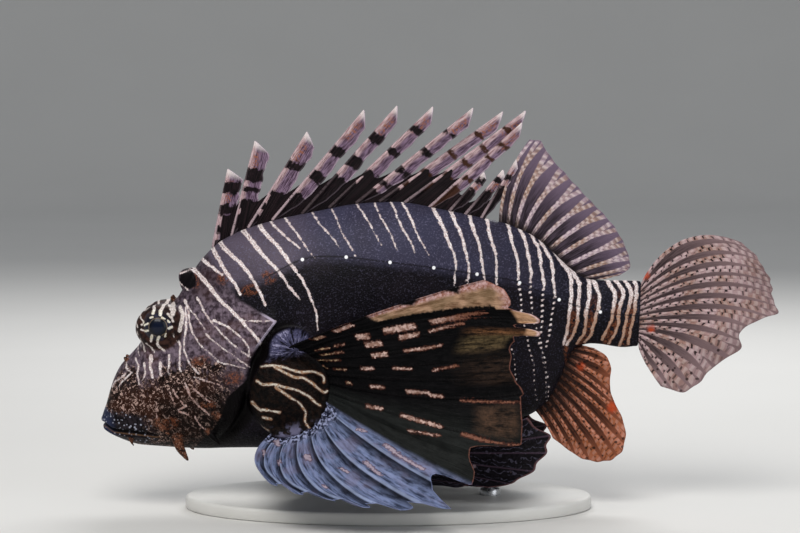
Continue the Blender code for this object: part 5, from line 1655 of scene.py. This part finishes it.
# %% Material of the beaded fins
def beaded_material(name, pale, warm, dusky, outer, tick_gap, spots=(), dark_root=0.0, beads=0.3,
                    tick_size=0.0, ticks_at=0.9, spread=0.11, fade=0.3, dark_below=-99.0,
                    dark_to=0.15):
    """Tones of rays, web and rim; millimetres from tick to tick; centres of rusty spots."""
    r = Recipe(name)
    column, reach, along = r.all_stored("column reach along")
    from_ray, rim, spacing = r.all_stored("from_ray rim spacing")
    fish = r.stored("fish", vector=True)
    fine = r.noise(fish, 0.8, 3, 0.6)
    broad = r.noise(fish, 0.08, 2)
    streaky = r.noise(r.join(r.times(column, 14), r.times(along, 0.15)), 0.8, 3)
    ray_number = r.sum("ROUND", column)
    phase = r.times(ray_number, 2.1)
    ray_tone = r.two_tone(broad, 0.4, 0.62, pale, warm)
    web = r.over(r.two_tone(streaky, 0.35, 0.65, dusky, r.mix(0.35, dusky, outer)),
        (r.step(reach, dark_to, dark_to * 0.4 + 0.8, 0, 0.9), outer))
    width = r.plus(r.times(spacing, spread), r.times(fine, 0.8))
    on_ray = r.fade(r.less(from_ray, width), -0.3, 0.25)
    strength = r.times(r.step(streaky, 0.2, 0.5, 0.7, 1), r.step(reach, 0.55, 1, 1, 1 - fade))
    colour = r.mix(r.times(on_ray, strength), web, ray_tone)
    # Beads and ticks keep their own beat on each side of a ray, and some are left out
    side = r.step(r.less(column, ray_number), -0.01, 0.01)
    turn = r.plus(r.times(along, 2 * math.pi / tick_gap), r.times(broad, 9))
    beat = r.sum("SINE", r.plus(turn, phase, r.times(side, 2.6)))
    bead = r.times(r.step(beat, 0, 0.8), on_ray)
    rough_beat = r.plus(beat, r.swing(fine, 0.7))
    kept = r.times(r.step(r.noise(fish, 0.3, 1), 0.4, 0.5),
        r.step(reach, 0.6, 0.95, ticks_at, ticks_at * (1 - fade)))
    ticks = r.times(r.step(rough_beat, -0.8 + tick_size, -0.95 + tick_size), kept, on_ray)
    colour = r.over(colour,
        (r.times(bead, beads), (226, 212, 208)),
        (ticks, (18, 11, 14)))
    for centre, size in spots:
        away = r.vector("DISTANCE", r.vector("MULTIPLY", fish, (1, 0, 1)),
            (centre[0], 0, centre[1]))
        in_spot = r.step(r.plus(away, r.times(fine, 2)), size * 0.6, size + 1, 0.85, 0)
        colour = r.mix(in_spot, colour, (176, 66, 30))
    dots = r.times(r.step(r.cells(fish, 0.3), 0.16, 0.27, 0.85, 0),
        r.fade(r.split(fish)[2], dark_below - 6, dark_below))
    colour = r.mix(dots, colour, (26, 12, 10))
    if dark_root:
        root_dark = r.step(r.plus(reach, r.swing(streaky, 0.3)), 0, dark_root, 0.9, 0)
        colour = r.mix(root_dark, colour, (16, 9, 10))
    colour = r.mix(r.step(rim, 0.3, 1.2, 0.5, 0), colour, outer)
    normal = r.relief((r.times(beat, on_ray), 0.16), (streaky, 0.3), (fine, 0.15))
    return r.finish(colour, r.step(fine, 0.3, 0.7, 0.4, 0.6), normal, Specular_IOR_Level=0.1)


print("one recipe for three fins ready")

# %% [markdown]
# Each middle fin is a row of roots on its own line of the body and a row of tips. Only the
# tail's rays need a middle point too, because its upper ones bend. Roots stay on the line
# between the rays as well, so no gap opens where the fin grows.

# %% Soft dorsal, anal and tail fin
SOFT_DORSAL_ROOTS = (
    202.2, 205.7, 209, 212.3, 215.7, 219.3, 222.7, 225.7, 229.1, 232.6, 236.2, 240.5)
SOFT_DORSAL_TIPS = (
    (223.6, 91.6), (228.3, 90), (231.3, 82.2), (236.4, 73.3), (241.4, 65), (245.9, 57.7),
    (250.3, 51), (254.2, 44), (257, 36.2), (258.3, 29), (257.9, 23.2), (252.4, 20.6))
ANAL_ROOTS = (
    201.7, 204.6, 207.2, 209.6, 211.8, 213.9, 215.8, 217.6, 219.3, 221, 222.9, 225.1, 227.8)
ANAL_TIPS = (
    (206.6, -48.9), (212.5, -55.9), (218.1, -61.4), (224.8, -64.3), (231.5, -64.6),
    (237.4, -61.5), (240.8, -53.9), (240.5, -45.5), (238.3, -37.3), (237.8, -29.9),
    (239.9, -21.6), (238.8, -15.6), (234.1, -11))
CAUDAL_ROOTS = (14.6, 12.4, 10.2, 8, 5.8, 3.6, 1.4, -0.8, -3, -5, -7, -9, -11, -13)
CAUDAL_MIDDLES = (
    (285.6, 30.9), (290.7, 25), (292.6, 19.8), (293.5, 14.8), (293.6, 10.5), (293, 5.4),
    (292.3, 0.2), (289.6, -4.4), (285, -8.6), (281, -12.8), (275.1, -17), (268.9, -20.9),
    (262.4, -23.6), (256.9, -23.4))
CAUDAL_TIPS = (
    (311.6, 24.2), (316.9, 17.3), (319.1, 11.1), (321.4, 5.3), (321.8, -0.1), (321.3, -5.3),
    (322, -11.7), (311.8, -13.2), (302.4, -17.4), (301.7, -25), (287.8, -31), (279.9, -36.6),
    (271, -39.6), (261.4, -34.8))


def middle_fin(name, node, rays, roots, line, material, **shape):
    notches = np.full(len(rays) - 1, shape.pop("notch"))
    fin = fin_fan(rays, notches, 1.4, roots=root_finder(roots, line), **shape)
    piece = fin_object(name, fin)
    settle(piece, node, material)
    return piece


soft_dorsal_skin = beaded_material(
    "soft_dorsal_web", (190, 168, 178), (162, 132, 118), (30, 23, 28), (106, 90, 108),
    tick_gap=3.0, dark_root=0.15, beads=0.35, ticks_at=0.45, spread=0.09, fade=0.4, dark_to=0.3)
soft_dorsal_rays = median_rays(SOFT_DORSAL_ROOTS, SOFT_DORSAL_TIPS, back_line, (0.085, 0.0))
middle_fin("soft_dorsal", "dorsal_fin_soft", soft_dorsal_rays, SOFT_DORSAL_ROOTS, back_line,
           soft_dorsal_skin, notch=0.012, wave=1.2, split=0.26, billow=0.03)
anal_skin = beaded_material(
    "anal_web", (186, 118, 92), (160, 94, 62), (28, 14, 10), (132, 76, 54),
    tick_gap=3.4, spots=(((237.0, -40.0), 3.6), ((226.0, -18.0), 3.0)), dark_root=0.45,
    beads=0.1, tick_size=0.1, ticks_at=0.8, spread=0.13, fade=0.25, dark_below=99.0, dark_to=0.5)
anal_rays = median_rays(ANAL_ROOTS, ANAL_TIPS, belly_line)
middle_fin("anal", "anal_fin", anal_rays, ANAL_ROOTS, belly_line, anal_skin,
           notch=0.012, wave=1.0, split=0.26, billow=0.03)
caudal_skin = beaded_material(
    "tail_web", (176, 148, 150), (150, 116, 106), (38, 28, 30), (122, 100, 102),
    tick_gap=4.4, spots=(((264.0, 18.5), 3.2), ((262.0, -7.0), 2.6)), beads=0.2,
    tick_size=0.12, ticks_at=0.95, spread=0.14, fade=0.6, dark_below=-16.0)
tail_root = tail_line(CAUDAL_ROOTS)
caudal_rays = np.stack((tail_root, np.array([(u, 0.0, w) for u, w in CAUDAL_MIDDLES]),
                        np.array([(u, 0.0, w) for u, w in CAUDAL_TIPS])), 1)
middle_fin("tail", "caudal_fin", caudal_rays, CAUDAL_ROOTS, tail_line, caudal_skin,
           notch=0.015, wave=1.5, split=0.28, split_from=0.35, billow=0.04)
print("middle fins have", len(soft_dorsal_rays) + len(anal_rays) + len(caudal_rays), "rays")

# %% [markdown]
# The thirteen dorsal spines carry the venom. Each is a stiff tapering rod with a flag of
# skin behind it, banded dark and pale, and a low black web joins them. A blade is a grid
# too: its first columns go round the rod, the rest run out to the flag's thin edge.

# %% Dorsal spines and their flags
DORSAL_SPINES = (
    (70.1, (82.1, 106.3), 7.4), (79.6, (97.2, 116.6), 7.6), (88.4, (121.9, 115.9), 7.2),
    (100.4, (150.1, 120.6), 6), (114.6, (165.6, 119.4), 5.4), (127.7, (182, 115.6), 5.2),
    (140.5, (200.2, 111.4), 5), (151.3, (213.6, 106.8), 5), (162.5, (224.2, 105.1), 4.8),
    (172.9, (221.3, 100), 4.2), (181.4, (199.4, 81), 3.2), (188.3, (208.3, 80.2), 3.2),
    (195, (215.2, 83.6), 2.4),
)
SPINE_ROOT_RADIUS, SPINE_TIP_RADIUS = 1.25, 0.3
WEB_SHARE = 0.36
FLAG_SHAPE = np.array((
    (0.0, 0.0), (0.14, 0.55), (0.34, 0.95), (0.58, 0.9), (0.82, 1.0), (0.9, 0.96), (0.96, 0.42),
    (1.0, 0.0)))
# Dark bands of each flag: distance of the band's middle from the tip and its half length;
# the last entry is where the dark root begins
SPINE_BANDS = (
    ((8.9, 2.4), (19.4, 2.4), (29, 1.8), 33), ((16.3, 2.9), (22.9, 1.4), (30.5, 2.4), 35),
    ((17.2, 2.2), (32.6, 1.2), (40.6, 2), 44), ((23.3, 2.6), (38.6, 2.9), (52.8, 3.1), 50),
    ((18.3, 2.4), (32.9, 3.3), (46.4, 4.1), 46), ((13.9, 1.6), (28.3, 2), (44.2, 2.2), 50),
    ((16.4, 0.9), (30.1, 1.8), (44.6, 2), (54.2, 1.8), 59),
    ((15.9, 0.9), (31.2, 1.2), (46.1, 1.4), (56.9, 1.8), 60),
    ((12.6, 0.9), (25.9, 1.2), (37.1, 1.4), (48, 1.6), 54),
    ((14, 0.9), (22.3, 1.2), (36.7, 1.4), 42), ((4.6, 1), 10), ((5.8, 1), 12), ((9.2, 0.8), 14))
BLADE_ROWS = 110
rng = np.random.default_rng(7)


def spine_blade(number, root_u, tip, flag):
    root = median_line(TOP, np.asarray(root_u, float), 0.4 + SPINE_ROOT_RADIUS)
    tip = np.array((tip[0], 0.0, tip[1]))
    span = tip - root
    length = float(np.linalg.norm(span))
    tip[1] = rng.uniform(-0.05, 0.05) * length
    along = (tip - root) / np.linalg.norm(tip - root)
    behind = np.array((along[2], 0.0, -along[0])) / math.hypot(along[2], along[0])
    side = np.cross(along, behind)
    share = np.linspace(-3.2 / length, 1.0, BLADE_ROWS)
    radius = SPINE_ROOT_RADIUS + (SPINE_TIP_RADIUS - SPINE_ROOT_RADIUS) * np.clip(share, 0.0, 1.0)
    breadth = np.interp(share, FLAG_SHAPE[:, 0], FLAG_SHAPE[:, 1])
    ripple = 1.0 + 0.05 * np.sin(share * 23.0 + number) + 0.03 * np.sin(share * 51.0 + 2.0 * number)
    edge = radius + flag * breadth * np.where(share < 0.9, ripple, 1.0) * 0.98
    round_rod = -np.cos(np.linspace(0.0, 0.8 * np.pi, 9))
    across = np.concatenate((round_rod, np.linspace(1.0, 2.0, 12)[1:]))
    past_rod = radius[:, None] + (across - 1.0) * (edge - radius)[:, None]
    offset = np.where(across <= 1.0, across * radius[:, None], past_rod)
    on_flag = np.clip(across - 1.0, 0.0, 1.0)
    round_half = np.sqrt(np.maximum(radius[:, None] ** 2 - offset ** 2, 0.0))
    web_half = 0.34 - 0.12 * on_flag
    half = np.where(offset < radius[:, None] * 0.8, round_half, np.maximum(round_half, web_half))
    half = np.maximum(half, 0.02) * np.where(across > 1.95, 0.4, 1.0)
    half = half * (0.3 + 0.7 * smooth_step(0.0, 0.05, 1.0 - share))[:, None]
    sway = 0.5 * np.sin(share * 5.0 + number)[:, None] * on_flag * breadth[:, None]
    middle = (root + along * (share * length)[:, None, None] + behind * offset[..., None]
              + side * sway[..., None])
    count = len(across)
    from_tip = np.repeat(((1.0 - share) * length)[:, None], count, 1)
    slanted = from_tip + 0.12 * offset
    band = slanted - SPINE_BANDS[number][-1]
    for middle_at, half_length in SPINE_BANDS[number][:-1]:
        band = np.maximum(band, half_length - np.abs(slanted - middle_at))
    marks = {"from_tip": from_tip, "band": np.clip(band, -6.0, 6.0),
             "across": offset, "blade": np.full(offset.shape, float(number)),
             "rim": np.repeat(edge[:, None], count, 1) - offset}
    marks = {name: np.tile(values.ravel(), 2) for name, values in marks.items()}
    return *two_faced(middle, side * half[..., None]), marks


print(len(DORSAL_SPINES), "spines planned")

# %% [markdown]
# A low black skin joins the spines at their feet. It is the same fan of rays as any fin, with
# every spine as a ray that ends early.

# %% Low web between the spines
def dorsal_web():
    """The low dark skin between the spines."""
    rays = []
    for root_u, tip, _ in DORSAL_SPINES:
        root = back_line(root_u)
        end = root + (np.array((tip[0], 0.0, tip[1])) - root) * WEB_SHARE
        rays.append((root, (root + end) / 2.0, end))
    roots = [spine[0] for spine in DORSAL_SPINES]
    points, faces, marks = fin_fan(np.array(rays), np.full(len(rays) - 1, 0.25), 1.0, sink=2.5,
                                   roots=root_finder(roots, back_line), billow=0.02)
    deep, dark, inside = (np.full(len(points), value) for value in (99.0, 6.0, 9.0))
    return points, faces, {"from_tip": deep, "band": dark, "across": marks["from_ray"],
                           "blade": marks["column"], "rim": inside}


print("web reaches", WEB_SHARE, "of each spine's length")

# %% [markdown]
# Every flag is banded dark and pale. The distance to the nearest dark band was stored, and
# two sizes of noise fray its edge. The pale bands turn from pink at the rod to violet at the
# rim, and the thin skin glows like embers near the tips.

# %% Colours of the flags
r = Recipe("spine_flags")
from_tip, across, blade, rim = r.all_stored("from_tip across blade rim")
place = r.join(r.plus(across, r.times(blade, 17)), from_tip)
fine = r.noise(place, 0.9, 3, 0.6)
broad = r.noise(place, 0.22, 2)
streaky = r.noise(r.join(r.times(across, 2.2), r.times(from_tip, 0.22), blade), 1, 3)
rough = r.plus(r.swing(fine, 2), r.swing(r.noise(place, 0.35, 2), 5))
rough = r.less(rough, r.step(from_tip, 8, 22, -0.3, 0.5))
dark = r.step(r.plus(r.stored("band"), rough), -0.9, 0.3)
violet = r.two_tone(streaky, 0.35, 0.65, (58, 42, 56), (126, 104, 126))
pinkish = r.two_tone(streaky, 0.35, 0.6, (140, 108, 112), (196, 170, 172))
ember = r.times(r.near(from_tip, 10.5, 3.5, 6.5), r.step(fine, 0.42, 0.6),
    r.near(across, 2.4, 0.6, 2.2, 0.8))
pale = r.over(r.two_tone(r.plus(across, r.times(broad, 2)), 1.4, 3.4, pinkish, violet),
    (ember, (142, 88, 62)),
    (r.step(from_tip, 1, 5, 0.75, 0), (222, 214, 212)))
black = r.over(r.two_tone(streaky, 0.4, 0.65, (8, 5, 7), (30, 19, 23)),
    (r.times(r.near(blade, 8, 1.2, 1.8), r.step(from_tip, 56, 62, 0.8, 0)), (62, 36, 24)))
front = r.times(r.fade(across, -0.5, 0.3), r.fade(from_tip, 70, 80))
bare = r.plus(r.step(blade, 3.2, 4, 0.75, 0), r.step(blade, 7.6, 8.4, 0, 0.6))
bare = r.plus(r.times(bare, r.step(from_tip, 14, 30)), 0.12)
colour = r.over(r.mix(dark, pale, black),
    (r.times(front, bare, r.step(fine, 0.36, 0.46, 0.3, 1)), (176, 154, 160)),
    (r.times(r.step(rim, 0.2, 0.9, 0.6, 0), r.less(1, r.times(dark, 0.8))), (196, 176, 190)))
normal = r.relief((streaky, 0.45), (fine, 0.15))
flag_skin = r.finish(colour, r.step(fine, 0.3, 0.7, 0.4, 0.6), normal, Specular_IOR_Level=0.09)
r.so_far("flag skin")

# %% [markdown]
# Blades and web become one piece, because one solid of the frame stands for them all. Their
# points and faces are simply stacked, each part's face numbers moved on past the last.

# %% Put the spines together
def join_fins(name, pieces):
    points, faces, marks, start = [], [], {key: [] for key in pieces[0][2]}, 0
    for some_points, some_faces, some_marks in pieces:
        points.append(some_points)
        faces.append(some_faces + start)
        for key in marks:
            marks[key].append(some_marks[key])
        start += len(some_points)
    merged = {key: np.concatenate(values) for key, values in marks.items()}
    return fin_object(name, (np.concatenate(points), np.concatenate(faces), merged))


blades = [spine_blade(number, *spine) for number, spine in enumerate(DORSAL_SPINES)]
spines = join_fins("dorsal_spines", blades + [dorsal_web()])
settle(spines, "dorsal_fin_spiny", flag_skin)
print("spines stand in a row of", len(blades))

# %% [markdown]
# An eye is a ball with a clear bulge. The pupil is blue black, and the iris is broken
# cream blotches with dark spokes, so the bars of the face run on across it. The material
# works out the distance from the pupil, and a glossy coat stands for the wet cornea.

# %% Eyes
PUPIL_RADIUS = 3.9
CORNEA_BULGE = 0.35


def make_eye(name, side):
    bm = bmesh.new()
    bmesh.ops.create_uvsphere(bm, u_segments=144, v_segments=104, radius=1.0)
    bmesh.ops.transform(bm, matrix=Matrix.Rotation(side * -math.pi / 2.0, 4, "X"), verts=bm.verts)
    mesh = bpy.data.meshes.new(name)
    bm.to_mesh(mesh)
    bm.free()
    eye = place_object(name, mesh)
    points = coordinates(eye) * MM
    outward = points[:, 1] * side
    reach = EYE_RADIUS + CORNEA_BULGE * smooth_step(0.8, 0.97, outward)
    off_eye = points * EYE_RADIUS * np.array((1.0, side, 1.0))
    store(eye, "off_eye", off_eye)
    strokes = stroke_field(off_eye[:, [0, 2]], EYE_MARKS)
    store(eye, "eye_mark", np.minimum(strokes, FIELD_LIMIT))
    set_coordinates(eye, points * reach[:, None] + np.array((EYE_U, side * EYE_Y, EYE_W)))
    eye.data.shade_smooth()
    return eye


print("eyeball", 2 * EYE_RADIUS, "mm across")

# %% [markdown]
# The eye's colour is laid on from the outside in: dark ground, the cream strokes that carry
# the bars of the face across it, a thin gold ring, and the pupil. Its coat is nearly smooth,
# so it catches the lamps.

# %% Wet eyes
r = Recipe("eye_wet")
off_eye = r.stored("off_eye", vector=True)
eye_u, _, eye_w = r.split(off_eye)
flat = r.join(eye_u, eye_w)
away = r.vector("LENGTH", flat)
fine = r.noise(flat, 0.9, 3, 0.6)
broad = r.noise(flat, 0.32, 2)
rear_low = r.times(r.step(eye_u, 0, 3), r.step(eye_w, -1.4, -4))
ground = r.over(r.two_tone(broad, 0.4, 0.6, (13, 13, 25), (34, 32, 50)),
    (r.times(r.step(away, 5.6, 7.4), r.step(fine, 0.35, 0.6)), (52, 38, 36)),
    (rear_low, (44, 29, 20)))
cream = r.two_tone(fine, 0.4, 0.6, (200, 190, 168), (238, 234, 226))
stroke = r.fade(r.plus(r.stored("eye_mark"), r.swing(fine, 1.4)), -0.3, 0.05)
gold = r.near(away, PUPIL_RADIUS + 0.25, 0.1, 0.3, 0.35)
iris = r.over(r.mix(stroke, ground, cream),
    (r.times(gold, r.step(broad, 0.42, 0.52)), (164, 142, 106)))
wobble = r.plus(away, r.swing(fine, 0.5))
pupil = r.fade(wobble, PUPIL_RADIUS - 0.15, PUPIL_RADIUS + 0.15)
pupil_tone = r.two_tone(away, 1.5, 3.9, (4, 13, 34), (3, 6, 15))
colour = r.mix(pupil, iris, pupil_tone)
wet_eye = r.finish(colour, 0.3, r.bump(fine, 0.05), Coat_Weight=0.3, Coat_Roughness=0.04,
    Specular_IOR_Level=0.1)

for name, side in (("eyeball_left", -1.0), ("eyeball_right", 1.0)):
    eye = make_eye(name, side)
    settle(eye, name.replace("ball", ""), wet_eye)
print("pupil", 2 * PUPIL_RADIUS, "mm across")

# %% [markdown]
# The model hangs over a plain oval base on two steel rods that end inside its belly. The
# base is turned board with a rounded edge, painted a satin grey. The rods get small
# collars where they enter it.

# %% Stand
BASE_CENTRE_X, BASE_HALF_LENGTH, BASE_HALF_WIDTH = -24.0, 96.0, 50.0
ROD_SOCKET_DEPTH, ROD_XS = 7.0, (-46.0, 24.0)
# Reach beyond the oval, or from the axis, and height
BOARD_PROFILE = ((-40.0, 0.0), (-1.2, 0.0), (-0.35, 0.35), (0.0, 1.2), (0.0, 4.5), (-0.2, 5.2),
                 (-0.6, 5.7), (-1.2, 5.93), (-1.8, 6.0), (-40.0, 6.0))
COLLAR_PROFILE = ((5.0, 6.05), (5.0, 8.2), (4.6, 8.9), (3.2, 9.3), (2.3, 9.45), (2.0, 9.8))


def turned(name, profile, segments, centre_x, oval=(0.0, 0.0)):
    """A closed turned body from a profile of reach beyond the oval and height, in millimetres."""
    angle = np.linspace(0.0, 2.0 * np.pi, segments, endpoint=False)
    rings = [np.stack((centre_x + (oval[0] + radius) * np.cos(angle),
                       (oval[1] + radius) * np.sin(angle), np.full(segments, height)), -1)
             for radius, height in profile]
    points, faces = closed_tube(np.array(rings))
    piece = add_mesh(name, points, faces)
    piece.data.shade_smooth()
    piece.data.set_sharp_from_angle(angle=math.radians(35.0))
    return piece


def paint_material():
    r = Recipe("satin_board")
    place = r.vector("MULTIPLY", r.node("TexCoord", "Object", {}), (1000.0, 1000.0, 1000.0))
    speck = r.noise(place, 0.9, 3.0, 0.6)
    broad = r.noise(place, 0.03, 2.0)
    colour = r.mix(r.step(broad, 0.35, 0.65), (206, 205, 201), (214, 213, 209))
    normal = r.bump(speck, 0.02)
    return r.finish(colour, r.step(speck, 0.3, 0.7, 0.38, 0.5), normal)


def steel_material():
    r = Recipe("brushed_rod")
    place = r.vector("MULTIPLY", r.node("TexCoord", "Object", {}), (1000.0, 1000.0, 60.0))
    brushed = r.noise(place, 0.8, 3.0, 0.6)
    colour = r.mix(r.step(brushed, 0.3, 0.7), (178, 179, 182), (202, 203, 205))
    gloss = r.step(brushed, 0.3, 0.7, 0.24, 0.38)
    return r.finish(colour, gloss, r.bump(brushed, 0.01), Metallic=0.9)


def rod_top(x):
    """Height at which the rod at x ends inside the belly."""
    u = np.arange(60.0, 200.0, 0.25)
    belly = [FISH @ (Vector((a, 0.0, b)) * MM) for a, b in zip(u, table_value(BOTTOM, u))]
    place = next(point for point in belly if point.x >= x * MM)
    return place.z / MM + ROD_SOCKET_DEPTH


board = turned("stand_board", BOARD_PROFILE, 160, BASE_CENTRE_X,
               (BASE_HALF_LENGTH, BASE_HALF_WIDTH))
board.data.materials.append(paint_material())
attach(board, "root")
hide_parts("stand_base")
steel = steel_material()
for name, x in zip(("front", "rear"), ROD_XS):
    top = rod_top(x)
    rod = turned("stand_rod_steel_" + name, (*COLLAR_PROFILE, (2.0, top - 0.5), (1.5, top)), 48, x)
    rod.data.materials.append(steel)
    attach(rod, "root")
    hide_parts("stand_rod_" + name)
print("base is", 2 * BASE_HALF_LENGTH, "x", 2 * BASE_HALF_WIDTH, "mm")

# %% [markdown]
# A pale floor and three soft lamps finish it. The large key light hangs over the fish's
# left and front, the fill is low on the other side, and a narrow lamp behind draws the
# edges of the fins. The floor is a wide round bowl, so no horizon shows from any side.

# %% Floor and light
FLOOR_FLAT, FLOOR_BEND = 2200.0, 900.0


def floor():
    """A flat disc whose edge curls up in a quarter circle."""
    curl = np.linspace(0.0, math.pi / 2.0, 25)
    radii = np.array((20.0, 1000.0, FLOOR_FLAT - 100.0, *(FLOOR_FLAT + FLOOR_BEND * np.sin(curl))))
    heights = np.array((0.0, 0.0, 0.0, *(FLOOR_BEND * (1.0 - np.cos(curl)))))
    turn = np.linspace(0.0, 2.0 * math.pi, 128, endpoint=False)
    rings = np.stack((np.outer(radii, np.cos(turn)), np.outer(radii, np.sin(turn)),
                      np.repeat(heights[:, None], len(turn), 1)), -1)
    points, faces = closed_tube(rings)
    piece = add_mesh("floor", points, faces[:-1])
    mesh = piece.data
    mesh.shade_smooth()
    r = Recipe("pale_floor")
    place = r.node("TexCoord", "Object", {})
    tone = r.mix(r.noise(place, 6.0, 2.0), (208, 207, 204), (214, 213, 210))
    mesh.materials.append(r.finish(tone, 0.75))


def lamp(name, place, target, size, power, tone=(1.0, 1.0, 1.0)):
    light = bpy.data.lights.new(name, "AREA")
    light.shape = "RECTANGLE"
    light.size, light.size_y = size
    light.energy = power
    light.color = tone
    piece = place_object(name, light)
    piece.location = place
    piece.rotation_euler = (Vector(target) - Vector(place)).to_track_quat("-Z", "Y").to_euler()


floor()
world = bpy.data.worlds.new("soft_room")
bpy.context.scene.world = world
world.use_nodes = True
world.node_tree.nodes["Background"].inputs["Color"].default_value = rgb(226, 230, 236)
world.node_tree.nodes["Background"].inputs["Strength"].default_value = 0.42
lamp("key", (-0.25, -0.75, 0.95), (0.0, 0.0, 0.1), (0.8, 0.6), 11.0, (1.0, 0.98, 0.95))
lamp("fill", (0.8, -0.7, 0.35), (0.0, 0.0, 0.08), (0.7, 0.7), 2.5, (0.93, 0.96, 1.0))
lamp("rim", (0.15, 0.8, 0.7), (0.0, 0.0, 0.1), (0.9, 0.3), 6.0)
print("three lamps lit")
